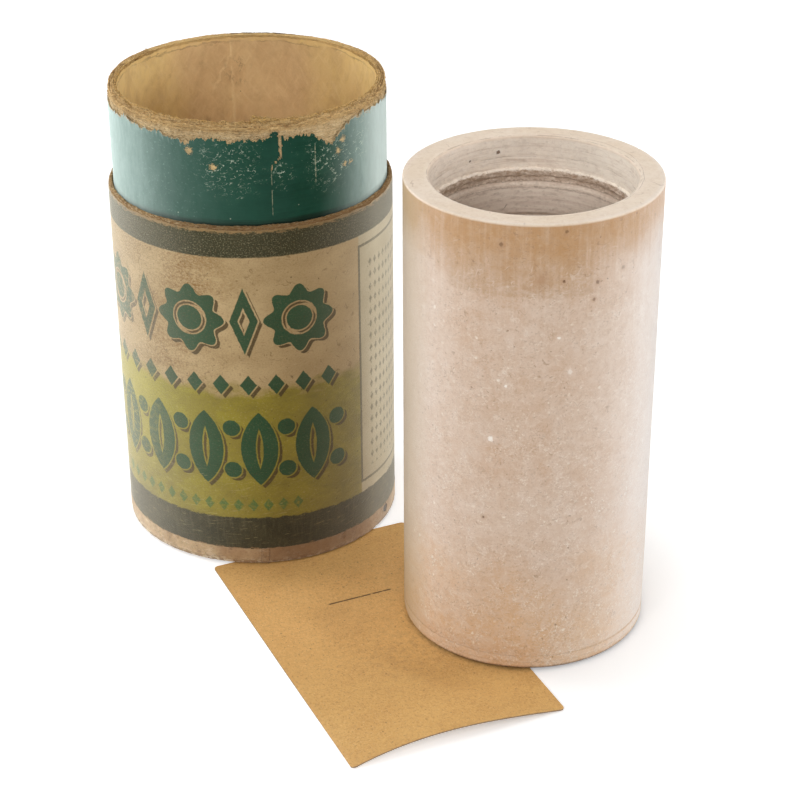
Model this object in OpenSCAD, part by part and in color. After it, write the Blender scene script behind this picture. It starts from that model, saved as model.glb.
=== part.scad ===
// Moulded wax phonograph cylinder with its board carton and its title slip.
// The carton stands at the back, the record in front of it, and both stand on the slip.
// Z = 0 is the table, the origin is the middle of the set, and the front of the set faces -Y.

/* [Record] */
// Outside diameter of the wax record
record_d = 55.6; // [52:0.1:60]
// Length of the record from foot to rim
record_h = 108; // [90:0.5:120]
// Diameter of the smooth reamed land at the mouth of the bore
mouth_d = 44.6; // [43.5:0.1:46]
// Depth of the reamed land below the rim
mouth_depth = 7.6; // [5:0.1:12]
// Bevel where the land meets the rim
mouth_bevel = 0.7; // [0.3:0.1:1]
// Inward step of the cast ledge below the land
ledge_step = 0.6; // [0.4:0.1:1.4]
// Height of the sloping face of the ledge
ledge_drop = 0.3; // [0.2:0.1:1.2]
// Bore diameter at the foot of the record
foot_bore_d = 40.6; // [39:0.1:41.5]
// Distance from one cast ring of the bore to the next
ring_pitch = 9; // [6:0.5:20]
// Width of the groove cast above each ring
ring_w = 2.3; // [1:0.1:4]
// Depth of the groove cast above each ring
ring_depth = 0.5; // [0.2:0.05:0.8]
// Radius of the rounded edge at the foot
foot_round = 1.2; // [0.5:0.1:2]
// Radius of the rounded edge at the rim
rim_round = 0.4; // [0.2:0.1:1]
// Height above the foot of the fine moulding line
mould_line_z = 3.6; // [3:0.1:8]
// Width of the fine moulding line
mould_line_w = 0.4; // [0.2:0.1:0.8]
// Depth of the fine moulding line
mould_line_depth = 0.12; // [0.05:0.01:0.3]

/* [Carton boards] */
// Inside diameter of the neck tube, before it is lined
neck_bore_d = 60.2; // [58:0.1:64]
// Thickness of the neck tube's strawboard
neck_wall = 1.85; // [1:0.05:3]
// Thickness of the outer tube's strawboard
outer_wall = 1.4; // [1:0.05:2]
// Height of the carton from its foot to the rim
carton_h = 112.3; // [95:0.1:125]
// Height of the neck that stands out above the outer tube
neck_h = 24.2; // [18:0.1:35]
// Thickness of the board disc that closes the foot
base_t = 2; // [1:0.1:4]
// Chamfer worn on the edges of the rim
rim_wear = 0.5; // [0.2:0.1:0.8]
// Chamfer worn on the top edge of the outer tube
shoulder_wear = 0.3; // [0.1:0.05:0.5]
// Glue line between one layer of the carton and the next
glue_line = 0.04; // [0.02:0.01:0.1]

/* [Carton papers] */
// Thickness of the heavy glazed paper round the neck
neck_paper_t = 0.33; // [0.1:0.01:0.4]
// Height of bare board left between the rim and the highest tongues of neck paper
tear_top = 1.5; // [1:0.1:3]
// Depth below those tongues that the tearing reaches
tear_reach = 6; // [3:0.1:8]
// Number of tears round the neck paper
tear_count = 26; // [8:1:32]
// Bearing of the deepest tear, from the front towards the right
tear_worst_at = 38; // [-180:1:180]
// Width of the lap where the neck paper closes
neck_lap_w = 5; // [3:0.5:10]
// Height that the neck paper's pressed lap stands proud
neck_lap_rise = 0.06; // [0.03:0.01:0.1]
// Bearing of the neck paper's lap, from the front towards the right
neck_lap_at = 12; // [-180:1:180]
// Thickness of the lining paper
lining_t = 0.15; // [0.1:0.01:0.3]
// Bare board left above the lining
lining_drop = 0.8; // [0.5:0.1:3]
// Width of the lap where the lining closes
lining_lap_w = 6; // [3:0.5:10]
// Bearing of the lining's lap, from the front towards the right
lining_lap_at = -168; // [-180:1:180]
// Thickness of the printed label
label_t = 0.2; // [0.1:0.01:0.3]
// Width of the lap where the label closes
label_lap_w = 7; // [3:0.5:12]
// Bearing of the label's lap, from the front towards the right
label_lap_at = 140; // [-180:1:180]
// Thickness of the edging strip round the foot
strip_t = 0.2; // [0.1:0.01:0.3]
// Height of the edging strip up the side
strip_h = 4.4; // [3:0.1:10]
// Width of the edging strip turned under the foot
strip_turn = 4.5; // [2:0.1:10]
// Width of the lap where the edging strip closes
strip_lap_w = 2; // [1:0.5:8]
// Bearing of the edging strip's lap, from the front towards the right
strip_lap_at = 4; // [-180:1:180]
// Thickness of the paper disc under the foot
base_paper_t = 0.2; // [0.1:0.01:0.3]
// Bare margin left round the paper disc under the foot
base_paper_margin = 2; // [1:0.1:4]

/* [Title slip] */
// Width of the slip
slip_w = 50.5; // [40:0.5:60]
// Length of the slip
slip_l = 86; // [80:0.5:110]
// Thickness of the slip's card
slip_t = 0.3; // [0.2:0.01:0.5]
// Height that the slip's front edge arches off the table
arch_h = 3.1; // [0:0.1:6]
// Lean of the arch towards the left of the slip: 1 is even
arch_lean = 0.8; // [0.6:0.05:1]
// Length of slip over which the arch rises to the front edge
arch_len = 42; // [20:1:60]
// Flat margin of slip kept round the record's foot
arch_clear = 5; // [4:0.5:10]

/* [Set] */
// Gap between the carton and the record
set_gap = 19.8; // [5:0.1:40]
// Bearing of the record from the carton, from +X
set_bearing = -38.4; // [-60:0.1:-20]
// Gap between the carton and the slip's back left corner
slip_gap = 2.7; // [0:0.1:15]
// Bearing of the slip's back left corner from the carton, from +X
slip_bearing = -106.5; // [-120:0.5:-90]
// Turn of the slip from +X
slip_turn = 24; // [10:0.5:35]
// Air left between the slip and what stands on it
rest_gap = 0.03; // [0.02:0.01:0.1]

/* [Hidden] */
$fn = 96;

strawboard = "#a98250";
lining_tan = "#b8955c";
neck_green = "#2c5c4d";
label_cream = "#c9bd97";
strip_brown = "#b8977a";
wax_tan = "#cbb09a";
card_manila = "#c99b5c";

arc_steps = 4;
slip_cols = 20;
slip_rows = 12;

// A tear's depth as shares of its reach: what is even, what is ragged, and what the worst place adds
tear_even = 0.4;
tear_ragged = 0.22;
tear_worst = 0.38;
tear_worst_power = 20;
golden_turn = 137.5;

// Radii of the carton, from the inside out
neck_bore_r = neck_bore_d / 2;
lining_r = neck_bore_r - glue_line;
neck_board_r = neck_bore_r + neck_wall;
neck_paper_r0 = neck_board_r + glue_line;
neck_r = neck_paper_r0 + neck_paper_t;
outer_bore_r = neck_board_r + glue_line;
outer_board_r = outer_bore_r + outer_wall;
skin_r0 = outer_board_r + glue_line;
carton_r = skin_r0 + max(label_t, strip_t);

// Heights of the carton, from the table up
stand_z = slip_t + rest_gap;
turn_z = stand_z + base_paper_t + glue_line;
board_z = turn_z + strip_t + glue_line;
rim_z = stand_z + carton_h;
shoulder_z = rim_z - neck_h;
tear_top_z = rim_z - tear_top;
lining_z = board_z + base_t;
strip_top_z = stand_z + strip_h;
label_z = strip_top_z + glue_line;

// Places of the three, seen from above, with the carton's axis as the start
record_r = record_d / 2;
record_spot = (carton_r + set_gap + record_r) * bearing(set_bearing);
slip_spot = (carton_r + slip_gap) * bearing(slip_bearing);
slip_corners = [for (u = [0, slip_w], v = [0, slip_l]) slip_spot + slip_plan(u, v)];
set_low = [
    for (k = [0, 1])
        min(-carton_r, record_spot[k] - record_r, min([for (c = slip_corners) c[k]]))
];
set_high = [
    for (k = [0, 1])
        max(carton_r, record_spot[k] + record_r, max([for (c = slip_corners) c[k]]))
];
carton_at = -(set_low + set_high) / 2;
record_at = carton_at + record_spot;
slip_at = carton_at + slip_spot;

// The record's axis in the slip's own plan, across and along it
record_on_slip = [
    (record_spot - slip_spot) * slip_plan(1, 0),
    (record_spot - slip_spot) * slip_plan(0, 1)
];
arch_from = slip_l - arch_len;

function bearing(a) = [cos(a), sin(a)];
function slip_plan(u, v) = u * bearing(slip_turn) + v * bearing(slip_turn - 90);
function ease(t) = t <= 0 ? 0 : t >= 1 ? 1 : t * t * (3 - 2 * t);
// The slip stays flat round the record's foot, and rises with the distance from it
function off_record(u, v) = norm([u, v] - record_on_slip) - record_r - arch_clear;
function slip_lift(u, v) =
    arch_h
    * sin(180 * pow(u / slip_w, arch_lean))
    * ease((v - arch_from) / arch_len)
    * ease(off_record(u, v) / (2 * arch_clear));
function arc(cx, cz, r, a0, a1) = [
    for (i = [0 : arc_steps])
        let (a = a0 + (a1 - a0) * i / arc_steps)
            [cx + r * cos(a), cz + r * sin(a)]
];

// Bore wall of the record below its ledge: a straight taper down to the foot
ledge_r = mouth_d / 2 - ledge_step;
ledge_z = record_h - mouth_depth - ledge_drop;
foot_bore_r = foot_bore_d / 2;
foot_bevel_z = mouth_bevel;
function taper_r(z) = foot_bore_r + (ledge_r - foot_bore_r) * (z - foot_bevel_z) / (ledge_z - foot_bevel_z);
ring_count = max(1, floor((ledge_z - foot_bevel_z - ring_w) / ring_pitch));
ring_tops = [for (i = [0 : ring_count - 1]) ledge_z - ring_w / 2 - i * ring_pitch];

// Puts a feature that is drawn on +X at a bearing from the front towards the right
module at_side(a) {
    rotate([0, 0, a - 90]) children();
}

// Section of a tube
module ring(r_in, r_out) {
    difference() {
        circle(r_out);
        circle(r_in);
    }
}

// Section of the second layer of paper where a wrapper overlaps itself
module lap(r_in, r_out, width, side) {
    reach = 2 * r_out;
    turn = width / r_out * 180 / PI;
    at_side(side)
        intersection() {
            ring(r_in, r_out);
            polygon([[0, 0], [reach, 0], reach * bearing(turn)]);
        }
}

// Stretches a section upright from z0 to z1
module upright(z0, z1) {
    translate([0, 0, z0]) linear_extrude(z1 - z0) children();
}

// Half section of the record: foot, outside wall, rim, reamed mouth, ledge and ringed bore
module record_section() {
    outside = concat(
        [[foot_bore_r + foot_bevel_z, 0]],
        arc(record_r - foot_round, foot_round, foot_round, -90, 0),
        [
            [record_r, mould_line_z - mould_line_w / 2],
            [record_r - mould_line_depth, mould_line_z],
            [record_r, mould_line_z + mould_line_w / 2]
        ],
        arc(record_r - rim_round, record_h - rim_round, rim_round, 0, 90)
    );
    mouth = [
        [mouth_d / 2 + mouth_bevel, record_h],
        [mouth_d / 2, record_h - mouth_bevel],
        [mouth_d / 2, record_h - mouth_depth],
        [ledge_r, ledge_z]
    ];
    rings = [
        for (z = ring_tops)
            each [
                [taper_r(z), z],
                [taper_r(z) + ring_depth, z - ring_w / 4],
                [taper_r(z - ring_w) + ring_depth, z - ring_w * 3 / 4],
                [taper_r(z - ring_w), z - ring_w]
            ]
    ];
    polygon(concat(outside, mouth, rings, [[foot_bore_r, foot_bevel_z]]));
}

// One-piece moulded wax record
module record() {
    color(wax_tan)
        translate([record_at.x, record_at.y, stand_z])
            rotate_extrude() record_section();
}

// Strawboard tube of the neck, from the foot to the worn rim
module inner_tube() {
    color(strawboard)
        translate(carton_at)
            rotate_extrude()
                polygon([
                    [neck_bore_r, board_z],
                    [neck_board_r, board_z],
                    [neck_board_r, rim_z - rim_wear],
                    [neck_board_r - rim_wear, rim_z],
                    [neck_bore_r + rim_wear, rim_z],
                    [neck_bore_r, rim_z - rim_wear]
                ]);
}

// Paper that lines the well of the carton
module inner_lining() {
    lining_top_z = rim_z - rim_wear - lining_drop;
    color(lining_tan)
        translate(carton_at)
            upright(lining_z, lining_top_z) {
                ring(lining_r - lining_t, lining_r);
                lap(lining_r - 2 * lining_t, lining_r - lining_t / 2, lining_lap_w, lining_lap_at);
            }
}

// Depth of the tear at a bearing: uneven from one to the next, and deepest at its worst place
function tear_depth(i, a) =
    tear_reach * (
        tear_even
        + tear_ragged * sin(golden_turn * i)
        + tear_worst * pow(max(0, cos(a - tear_worst_at)), tear_worst_power)
    );

// Glazed paper round the neck, standing on the outer tube and torn away along its top edge
module neck_paper() {
    tear_step = 360 / tear_count;
    tears = [
        for (i = [0 : tear_count - 1])
            let (a = tear_step * (i + tear_ragged * cos(golden_turn * i)))
                [a, tear_depth(i, a)]
    ];
    color(neck_green)
        translate(carton_at)
            difference() {
                upright(shoulder_z + glue_line, tear_top_z) {
                    ring(neck_paper_r0, neck_r);
                    lap(neck_r - neck_lap_rise, neck_r + neck_lap_rise, neck_lap_w, neck_lap_at);
                }
                for (tear = tears)
                    at_side(tear[0])
                        translate([neck_r, 0, tear_top_z])
                            rotate([0, 90, 0])
                                cylinder(r = tear[1], h = 2 * neck_wall, center = true);
            }
}

// Shorter strawboard tube that the lid stands on
module outer_tube() {
    color(strawboard)
        translate(carton_at)
            rotate_extrude()
                polygon([
                    [outer_bore_r, board_z],
                    [outer_board_r, board_z],
                    [outer_board_r, shoulder_z - shoulder_wear],
                    [outer_board_r - shoulder_wear, shoulder_z],
                    [outer_bore_r, shoulder_z]
                ]);
}

// Printed label wrapped round the outer tube
module label_wrap() {
    label_top_z = shoulder_z - shoulder_wear;
    color(label_cream)
        translate(carton_at)
            upright(label_z, label_top_z) {
                ring(skin_r0, skin_r0 + label_t);
                lap(skin_r0 + label_t / 2, skin_r0 + 2 * label_t, label_lap_w, label_lap_at);
            }
}

// Edging strip round the foot, turned under it
module foot_strip() {
    color(strip_brown)
        translate(carton_at) {
            rotate_extrude()
                polygon([
                    [skin_r0 - strip_turn, turn_z],
                    [skin_r0 + strip_t, turn_z],
                    [skin_r0 + strip_t, strip_top_z],
                    [skin_r0, strip_top_z],
                    [skin_r0, turn_z + strip_t],
                    [skin_r0 - strip_turn, turn_z + strip_t]
                ]);
            upright(turn_z, strip_top_z)
                lap(skin_r0 + strip_t / 2, skin_r0 + 2 * strip_t, strip_lap_w, strip_lap_at);
        }
}

// Board disc glued into the foot of the neck tube
module base_disc() {
    color(strawboard)
        translate([carton_at.x, carton_at.y, board_z])
            cylinder(r = lining_r, h = base_t - glue_line);
}

// Paper disc that covers the turned edge of the strip under the foot
module base_paper() {
    color(strip_brown)
        translate([carton_at.x, carton_at.y, stand_z])
            cylinder(r = skin_r0 - base_paper_margin, h = base_paper_t);
}

// Title slip: a card flat under the carton and the record, arched off the table at its front
module title_slip() {
    cols = [for (i = [0 : slip_cols]) slip_w * i / slip_cols];
    rows = concat([0], [for (j = [0 : slip_rows]) arch_from + (slip_l - arch_from) * j / slip_rows]);
    nc = len(cols);
    nr = len(rows);
    // Index of a point: side 0 is the underside, 1 the top
    function at(side, j, i) = (side * nr + j) * nc + i;
    function quad(a, b, c, d) = [[a, b, c], [a, c, d]];
    points = [
        for (side = [0, 1], v = rows, u = cols)
            [u, -v, slip_lift(u, v) + side * slip_t]
    ];
    faces = concat(
        [
            for (j = [0 : nr - 2], i = [0 : nc - 2])
                each concat(
                    quad(at(1, j, i), at(1, j, i + 1), at(1, j + 1, i + 1), at(1, j + 1, i)),
                    quad(at(0, j, i), at(0, j + 1, i), at(0, j + 1, i + 1), at(0, j, i + 1))
                )
        ],
        [
            for (i = [0 : nc - 2])
                each concat(
                    quad(at(1, 0, i + 1), at(1, 0, i), at(0, 0, i), at(0, 0, i + 1)),
                    quad(at(1, nr - 1, i), at(1, nr - 1, i + 1), at(0, nr - 1, i + 1), at(0, nr - 1, i))
                )
        ],
        [
            for (j = [0 : nr - 2])
                each concat(
                    quad(at(1, j, 0), at(1, j + 1, 0), at(0, j + 1, 0), at(0, j, 0)),
                    quad(at(1, j + 1, nc - 1), at(1, j, nc - 1), at(0, j, nc - 1), at(0, j + 1, nc - 1))
                )
        ]
    );
    color(card_manila)
        translate(slip_at)
            rotate([0, 0, slip_turn])
                polyhedron(points, faces);
}

record();
inner_tube();
inner_lining();
neck_paper();
outer_tube();
label_wrap();
foot_strip();
base_disc();
base_paper();
title_slip();
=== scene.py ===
import math
import random
from types import SimpleNamespace

import bmesh
import bpy
from mathutils import Matrix, Vector, noise


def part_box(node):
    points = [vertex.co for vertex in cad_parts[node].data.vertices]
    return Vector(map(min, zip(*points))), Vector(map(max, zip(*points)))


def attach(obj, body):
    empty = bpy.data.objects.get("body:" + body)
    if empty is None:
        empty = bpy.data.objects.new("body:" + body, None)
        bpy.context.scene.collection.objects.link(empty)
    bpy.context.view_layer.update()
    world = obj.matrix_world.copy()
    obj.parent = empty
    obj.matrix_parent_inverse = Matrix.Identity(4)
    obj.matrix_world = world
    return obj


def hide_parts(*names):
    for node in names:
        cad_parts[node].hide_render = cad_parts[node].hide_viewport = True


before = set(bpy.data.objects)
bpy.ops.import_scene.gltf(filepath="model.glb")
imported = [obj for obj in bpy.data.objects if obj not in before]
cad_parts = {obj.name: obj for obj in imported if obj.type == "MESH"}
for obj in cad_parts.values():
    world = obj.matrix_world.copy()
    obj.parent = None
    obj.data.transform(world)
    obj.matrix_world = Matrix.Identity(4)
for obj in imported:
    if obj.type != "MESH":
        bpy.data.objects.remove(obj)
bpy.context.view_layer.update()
mm = 0.001
uvSpan = 250  # mm of paper across one unit of a sheet's UV map
wedges = 30  # a turned piece is spun as one wedge, then repeated
sewGap = 0.002  # mm between points that are sewn together
sharpAngle = math.radians(50)
print("frame loaded:", len(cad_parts), "nodes")


# Places and shapes

def axisOf(nodeName):
    low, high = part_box(nodeName)
    return Vector(((low.x + high.x) / 2, (low.y + high.y) / 2, 0))


cartonAxis = axisOf("inner_tube")
recordAxis = axisOf("record")
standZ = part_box("record")[0].z / mm


def ease(t):
    t = min(max(t, 0), 1)
    return t * t * (3 - 2 * t)


def bump(value, at, wide):
    return math.exp(-((value - at) / wide) ** 2)


def rough(x, y, z=0.0, octaves=3):
    return noise.fractal(Vector((x, y, z)), 1.0, 2.0, octaves)


def onRing(bearing, radius):
    # a point of noise space that runs round the ring without a seam
    turn = math.radians(bearing)
    return radius * math.sin(turn), radius * math.cos(turn)


def polar(co, axis):
    # bearing from the front towards the right, radius and height, in degrees and mm
    dx = (co.x - axis.x) / mm
    dy = (co.y - axis.y) / mm
    return math.degrees(math.atan2(dx, -dy)), math.hypot(dx, dy), co.z / mm


def fromPolar(bearing, radius, height, axis):
    x, y = onRing(bearing, radius)
    return Vector((axis.x + x * mm, axis.y - y * mm, height * mm))


def lathe(profile, axis, steps, stepOf):
    # profile is a closed run of (radius, height) in mm, cut finer where stepOf says so, then spun
    bm = bmesh.new()
    chain = []
    for (r0, z0), (r1, z1) in zip(profile, profile[1:] + profile[:1]):
        cuts = 1 + int(math.hypot(r1 - r0, z1 - z0) / stepOf((r0 + r1) / 2, (z0 + z1) / 2))
        for i in range(cuts):
            radius = r0 + i / cuts * (r1 - r0)
            height = z0 + i / cuts * (z1 - z0)
            chain.append(bm.verts.new((axis.x, axis.y - radius * mm, height * mm)))
    for a, b in zip(chain, chain[1:] + chain[:1]):
        bm.edges.new((a, b))
    # one wedge is spun, then the wedge is turned round the axis and sewn up
    bmesh.ops.spin(
        bm, geom=bm.verts[:] + bm.edges[:], cent=axis, axis=(0, 0, 1),
        angle=math.tau / wedges, steps=steps // wedges,
    )
    bmesh.ops.spin(
        bm, geom=bm.verts[:] + bm.edges[:] + bm.faces[:], cent=axis, axis=(0, 0, 1),
        angle=math.tau * (wedges - 1) / wedges, steps=wedges - 1, use_duplicate=True,
    )
    bmesh.ops.remove_doubles(bm, verts=bm.verts, dist=sewGap * mm)
    return bm


def reshape(bm, axis, moved):
    # moved gives the new bearing, radius and height of each point
    for vert in bm.verts:
        vert.co = fromPolar(*moved(*polar(vert.co, axis)), axis)


def flatSheet(width, low, high, columns, rows):
    # a sheet laid flat: x runs along it from its middle and y up it, in mm
    bm = bmesh.new()
    bm.loops.layers.uv.new("sheet")
    bmesh.ops.create_grid(bm, x_segments=columns, y_segments=rows, size=0.5)
    for vert in bm.verts:
        vert.co.x *= width
        vert.co.y = low + (vert.co.y + 0.5) * (high - low)
    return bm


def sheetBearing(x, middle, radius):
    # where a place on a rolled sheet comes to lie, from -180 to 180
    return (middle + math.degrees(x / radius) + 180) % 360 - 180


def printUv(bm, middle=None, radius=None):
    # mm of the flat sheet; on a rolled one, x starts at bearing 0 and runs to the right
    layer = bm.loops.layers.uv.active
    for face in bm.faces:
        shift = 0
        if radius:
            centre = face.calc_center_median().x
            shift = math.radians(sheetBearing(centre, middle, radius)) * radius - centre
        for loop in face.loops:
            flat = loop.vert.co
            loop[layer].uv = (0.5 + (flat.x + shift) / uvSpan, flat.y / uvSpan)


def roll(bm, axis, radius, radiusAt, seam):
    # wraps a flat sheet round the axis, its middle opposite to the seam
    for vert in bm.verts:
        along, up = vert.co.x, vert.co.y
        bearing = seam + 180 + math.degrees(along / radius)
        vert.co = fromPolar(bearing, radiusAt(along, up), up, axis)


def newPiece(name, bm, body, nodes, materials):
    bmesh.ops.remove_doubles(bm, verts=bm.verts, dist=1e-7)
    bmesh.ops.recalc_face_normals(bm, faces=bm.faces)
    mesh = bpy.data.meshes.new(name)
    bm.to_mesh(mesh)
    bm.free()
    for polygon in mesh.polygons:
        polygon.use_smooth = True
    mesh.set_sharp_from_angle(angle=sharpAngle)
    for material in materials:
        mesh.materials.append(material)
    piece = bpy.data.objects.new(name, mesh)
    bpy.context.scene.collection.objects.link(piece)
    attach(piece, body)
    if nodes:
        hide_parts(*nodes)
    return piece


def thicken(piece, thick, rimSlot=0, offset=-1):
    # gives a sheet its thickness, with crisp cut edges
    solid = piece.modifiers.new("thickness", "SOLIDIFY")
    solid.thickness = thick * mm
    solid.offset = offset
    solid.use_even_offset = False
    solid.material_offset_rim = rimSlot
    depsgraph = bpy.context.evaluated_depsgraph_get()
    thin = piece.data
    piece.data = bpy.data.meshes.new_from_object(
        piece.evaluated_get(depsgraph), preserve_all_data_layers=True, depsgraph=depsgraph,
    )
    piece.modifiers.clear()
    bpy.data.meshes.remove(thin)
    piece.data.name = piece.name
    piece.data.set_sharp_from_angle(angle=sharpAngle)


# Shader parts

tree = None  # node tree that these functions add to, set by newMaterial


def colour(red, green, blue):
    # 0 to 255 as seen, to the scene's own values
    def one(c):
        c = c / 255
        return c / 12.92 if c <= 0.04045 else ((c + 0.055) / 1.055) ** 2.4
    return (one(red), one(green), one(blue), 1)


def newMaterial(name, roughness, specular=0.5, dust=0.0, dustRough=0.5, dustTone=(1, 1, 1, 1)):
    global tree
    material = bpy.data.materials.new(name)
    material.use_nodes = True
    tree = material.node_tree
    shader = tree.nodes["Principled BSDF"]
    shader.inputs["Roughness"].default_value = roughness
    shader.inputs["Specular IOR Level"].default_value = specular
    shader.inputs["Sheen Weight"].default_value = dust
    shader.inputs["Sheen Roughness"].default_value = dustRough
    shader.inputs["Sheen Tint"].default_value = dustTone
    return material, shader


def put(value, socket):
    if isinstance(value, bpy.types.NodeSocket):
        tree.links.new(value, socket)
    else:
        socket.default_value = value


def node(kind, **inputs):
    # a new node with its sockets filled; _ stands for the space in a socket's name
    made = tree.nodes.new("ShaderNode" + kind)
    for name, value in inputs.items():
        put(value, made.inputs[name.replace("_", " ")])
    return made


def calc(operation, *values, kind="Math"):
    made = node(kind)
    made.operation = operation
    for value, socket in zip(values, made.inputs):
        put(value, socket)
    return made.outputs[0]


def folded(operation, values):
    total = values[0]
    for value in values[1:]:
        total = calc(operation, total, value)
    return total


def plus(*values):
    return folded("ADD", values)


def minus(a, b):
    return calc("SUBTRACT", a, b)


def times(*values):
    return folded("MULTIPLY", values)


def most(*values):
    return folded("MAXIMUM", values)


def least(*values):
    return folded("MINIMUM", values)


def absolute(value):
    return calc("ABSOLUTE", value)


def ramp(value, low, high, start=0.0, end=1.0, kind="LINEAR"):
    made = node("MapRange", Value=value, From_Min=low, From_Max=high, To_Min=start, To_Max=end)
    made.interpolation_type = kind
    return made.outputs["Result"]


def between(mask, low, high):
    # low where the mask is 0, high where it is 1
    return ramp(mask, 0, 1, low, high)


def swayed(value, mask, reach):
    # shifts a value up and down with a mask, so that its edges wander
    return plus(value, between(mask, -reach, reach))


def mix(amount, under, over, blend="MIX"):
    made = node("Mix")
    made.data_type = "RGBA"
    made.blend_type = blend
    put(amount, made.inputs[0])
    put(under, made.inputs[6])
    put(over, made.inputs[7])
    return made.outputs[2]


def coat(under, mask, tint, strength=1):
    # lays a colour over another as far as the mask says
    amount = mask if strength == 1 else times(mask, strength)
    return mix(amount, under, colour(*tint))


def edgeDust(shader, amount, start=0.12, full=0.55):
    # dust and bloom whiten a wall where it is seen at a slant
    slant = node("LayerWeight", Blend=0.5)
    seen = ramp(slant.outputs["Facing"], start, full)
    put(times(seen, amount), shader.inputs["Sheen Weight"])


def placeOf(axis):
    # the piece's own coordinates in mm from its axis on the table
    source = node("TexCoord").outputs["Object"]
    shift = (-axis.x / mm, -axis.y / mm, 0)
    return node("Mapping", Vector=source, Scale=(1 / mm, 1 / mm, 1 / mm), Location=shift).outputs["Vector"]


def flatOf():
    # mm along and up a printed sheet
    source = node("UVMap")
    source.uv_map = "sheet"
    shift = (-uvSpan / 2, 0, 0)
    mapping = node("Mapping", Vector=source.outputs["UV"], Scale=(uvSpan, uvSpan, 1), Location=shift)
    return mapping.outputs["Vector"]


def parts(vector):
    return tuple(node("SeparateXYZ", Vector=vector).outputs)


def ringOf(x, y):
    return calc("SQRT", plus(calc("POWER", x, 2), calc("POWER", y, 2)))


def shaken(vector, size, reach):
    # shifts a vector about, so that what is drawn with it comes out crooked
    made = node("TexNoise", Vector=vector, Scale=1 / size, Detail=3)
    moved = calc("MULTIPLY_ADD", made.outputs["Color"], (reach, reach, reach), vector, kind="VectorMath")
    return calc("SUBTRACT", moved, (reach / 2, reach / 2, reach / 2), kind="VectorMath")


def stretched(vector, size, turn=0.0):
    # size of the detail in mm, one number or one for each direction
    sizes = size if hasattr(size, "__len__") else (size, size, size)
    made = node("Mapping", Vector=vector, Scale=sizes, Rotation=(0, 0, math.radians(turn)))
    made.vector_type = "TEXTURE"
    return made.outputs["Vector"]


def grain(vector, size, low=0.3, high=0.7, detail=3.0, rough=0.6, turn=0.0, warp=0.0):
    spread = stretched(vector, size, turn)
    made = node("TexNoise", Vector=spread, Scale=1, Detail=detail, Roughness=rough, Distortion=warp)
    return ramp(made.outputs["Fac"], low, high)


def specks(vector, size, radius, share, soft=0.5):
    # dots of one size per cell of a scattered pattern, kept in a share of the cells
    made = node("TexVoronoi", Vector=stretched(vector, size), Scale=1)
    pick = node("SeparateColor", Color=made.outputs["Color"]).outputs
    bigness = ramp(pick[1], 0, 1, 0.4 * radius, radius)
    inside = ramp(calc("DIVIDE", made.outputs["Distance"], bigness), 1, soft)
    return times(inside, calc("LESS_THAN", pick[0], share))


def spot(vector, x, y, size, wobble=None, soft=0.5, z=0.0):
    # one blot on a flat sheet or round a point
    made = node("VectorMath")
    made.operation = "DISTANCE"
    put(vector, made.inputs[0])
    put((x, y, z), made.inputs[1])
    away = made.outputs["Value"] if wobble is None else plus(made.outputs["Value"], wobble)
    return ramp(away, size, size * soft)


def band(value, low, high, soft=0.15):
    return times(ramp(value, low - soft, low + soft), ramp(value, high + soft, high - soft))


def cracks(vector, size, thin):
    made = node("TexVoronoi", Vector=stretched(vector, size), Scale=1)
    made.feature = "DISTANCE_TO_EDGE"
    return ramp(made.outputs["Distance"], thin, thin * 0.3)


def hairs(vector, size, thin, turn=0.0):
    # fine curved lines, where a soft noise passes its middle value
    spread = stretched(vector, size, turn)
    made = node("TexNoise", Vector=spread, Scale=1, Detail=1.5, Distortion=0.8)
    return ramp(absolute(minus(made.outputs["Fac"], 0.5)), thin, thin * 0.3)


def relief(shader, *layers):
    # (height, depth in mm) layers added up into one bump
    total = plus(*[times(height, deep) for height, deep in layers])
    made = node("Bump", Strength=1, Distance=mm, Height=total)
    put(made.outputs["Normal"], shader.inputs["Normal"])


def fuzzMaterial(name, roughness, axis, light, dark, deep):
    # raw cut or torn edge of paper and card
    material, shader = newMaterial(name, roughness, 0.2)
    fuzz = grain(placeOf(axis), 0.5, 0.3, 0.7, 3, 0.7)
    put(mix(fuzz, light, dark), shader.inputs["Base Color"])
    relief(shader, (fuzz, deep))
    return material


# Wax record

waxRecord = {
    "radius": 27.8, "height": 108.0, "footRound": 1.2, "rimRound": 0.4, "mouldLine": 3.6,
    "mouth": 22.3, "mouthDeep": 7.6, "bevel": 0.7, "ledge": 21.7, "ledgeZ": 100.1,
    "footBore": 20.3, "ringPitch": 9.0, "ringWide": 2.3, "ringDeep": 0.5,
    "outside": 26, "boreMost": 23, "landGroove": 103.1, "collarZ": 97.2,
    "footZone": 5.5, "fineAbove": 88, "steps": 420,
}


def arc(cx, cz, radius, start, end, count=5):
    turns = [math.radians(start + (end - start) * i / count) for i in range(count + 1)]
    return [(cx + radius * math.cos(t), cz + radius * math.sin(t)) for t in turns]


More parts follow.
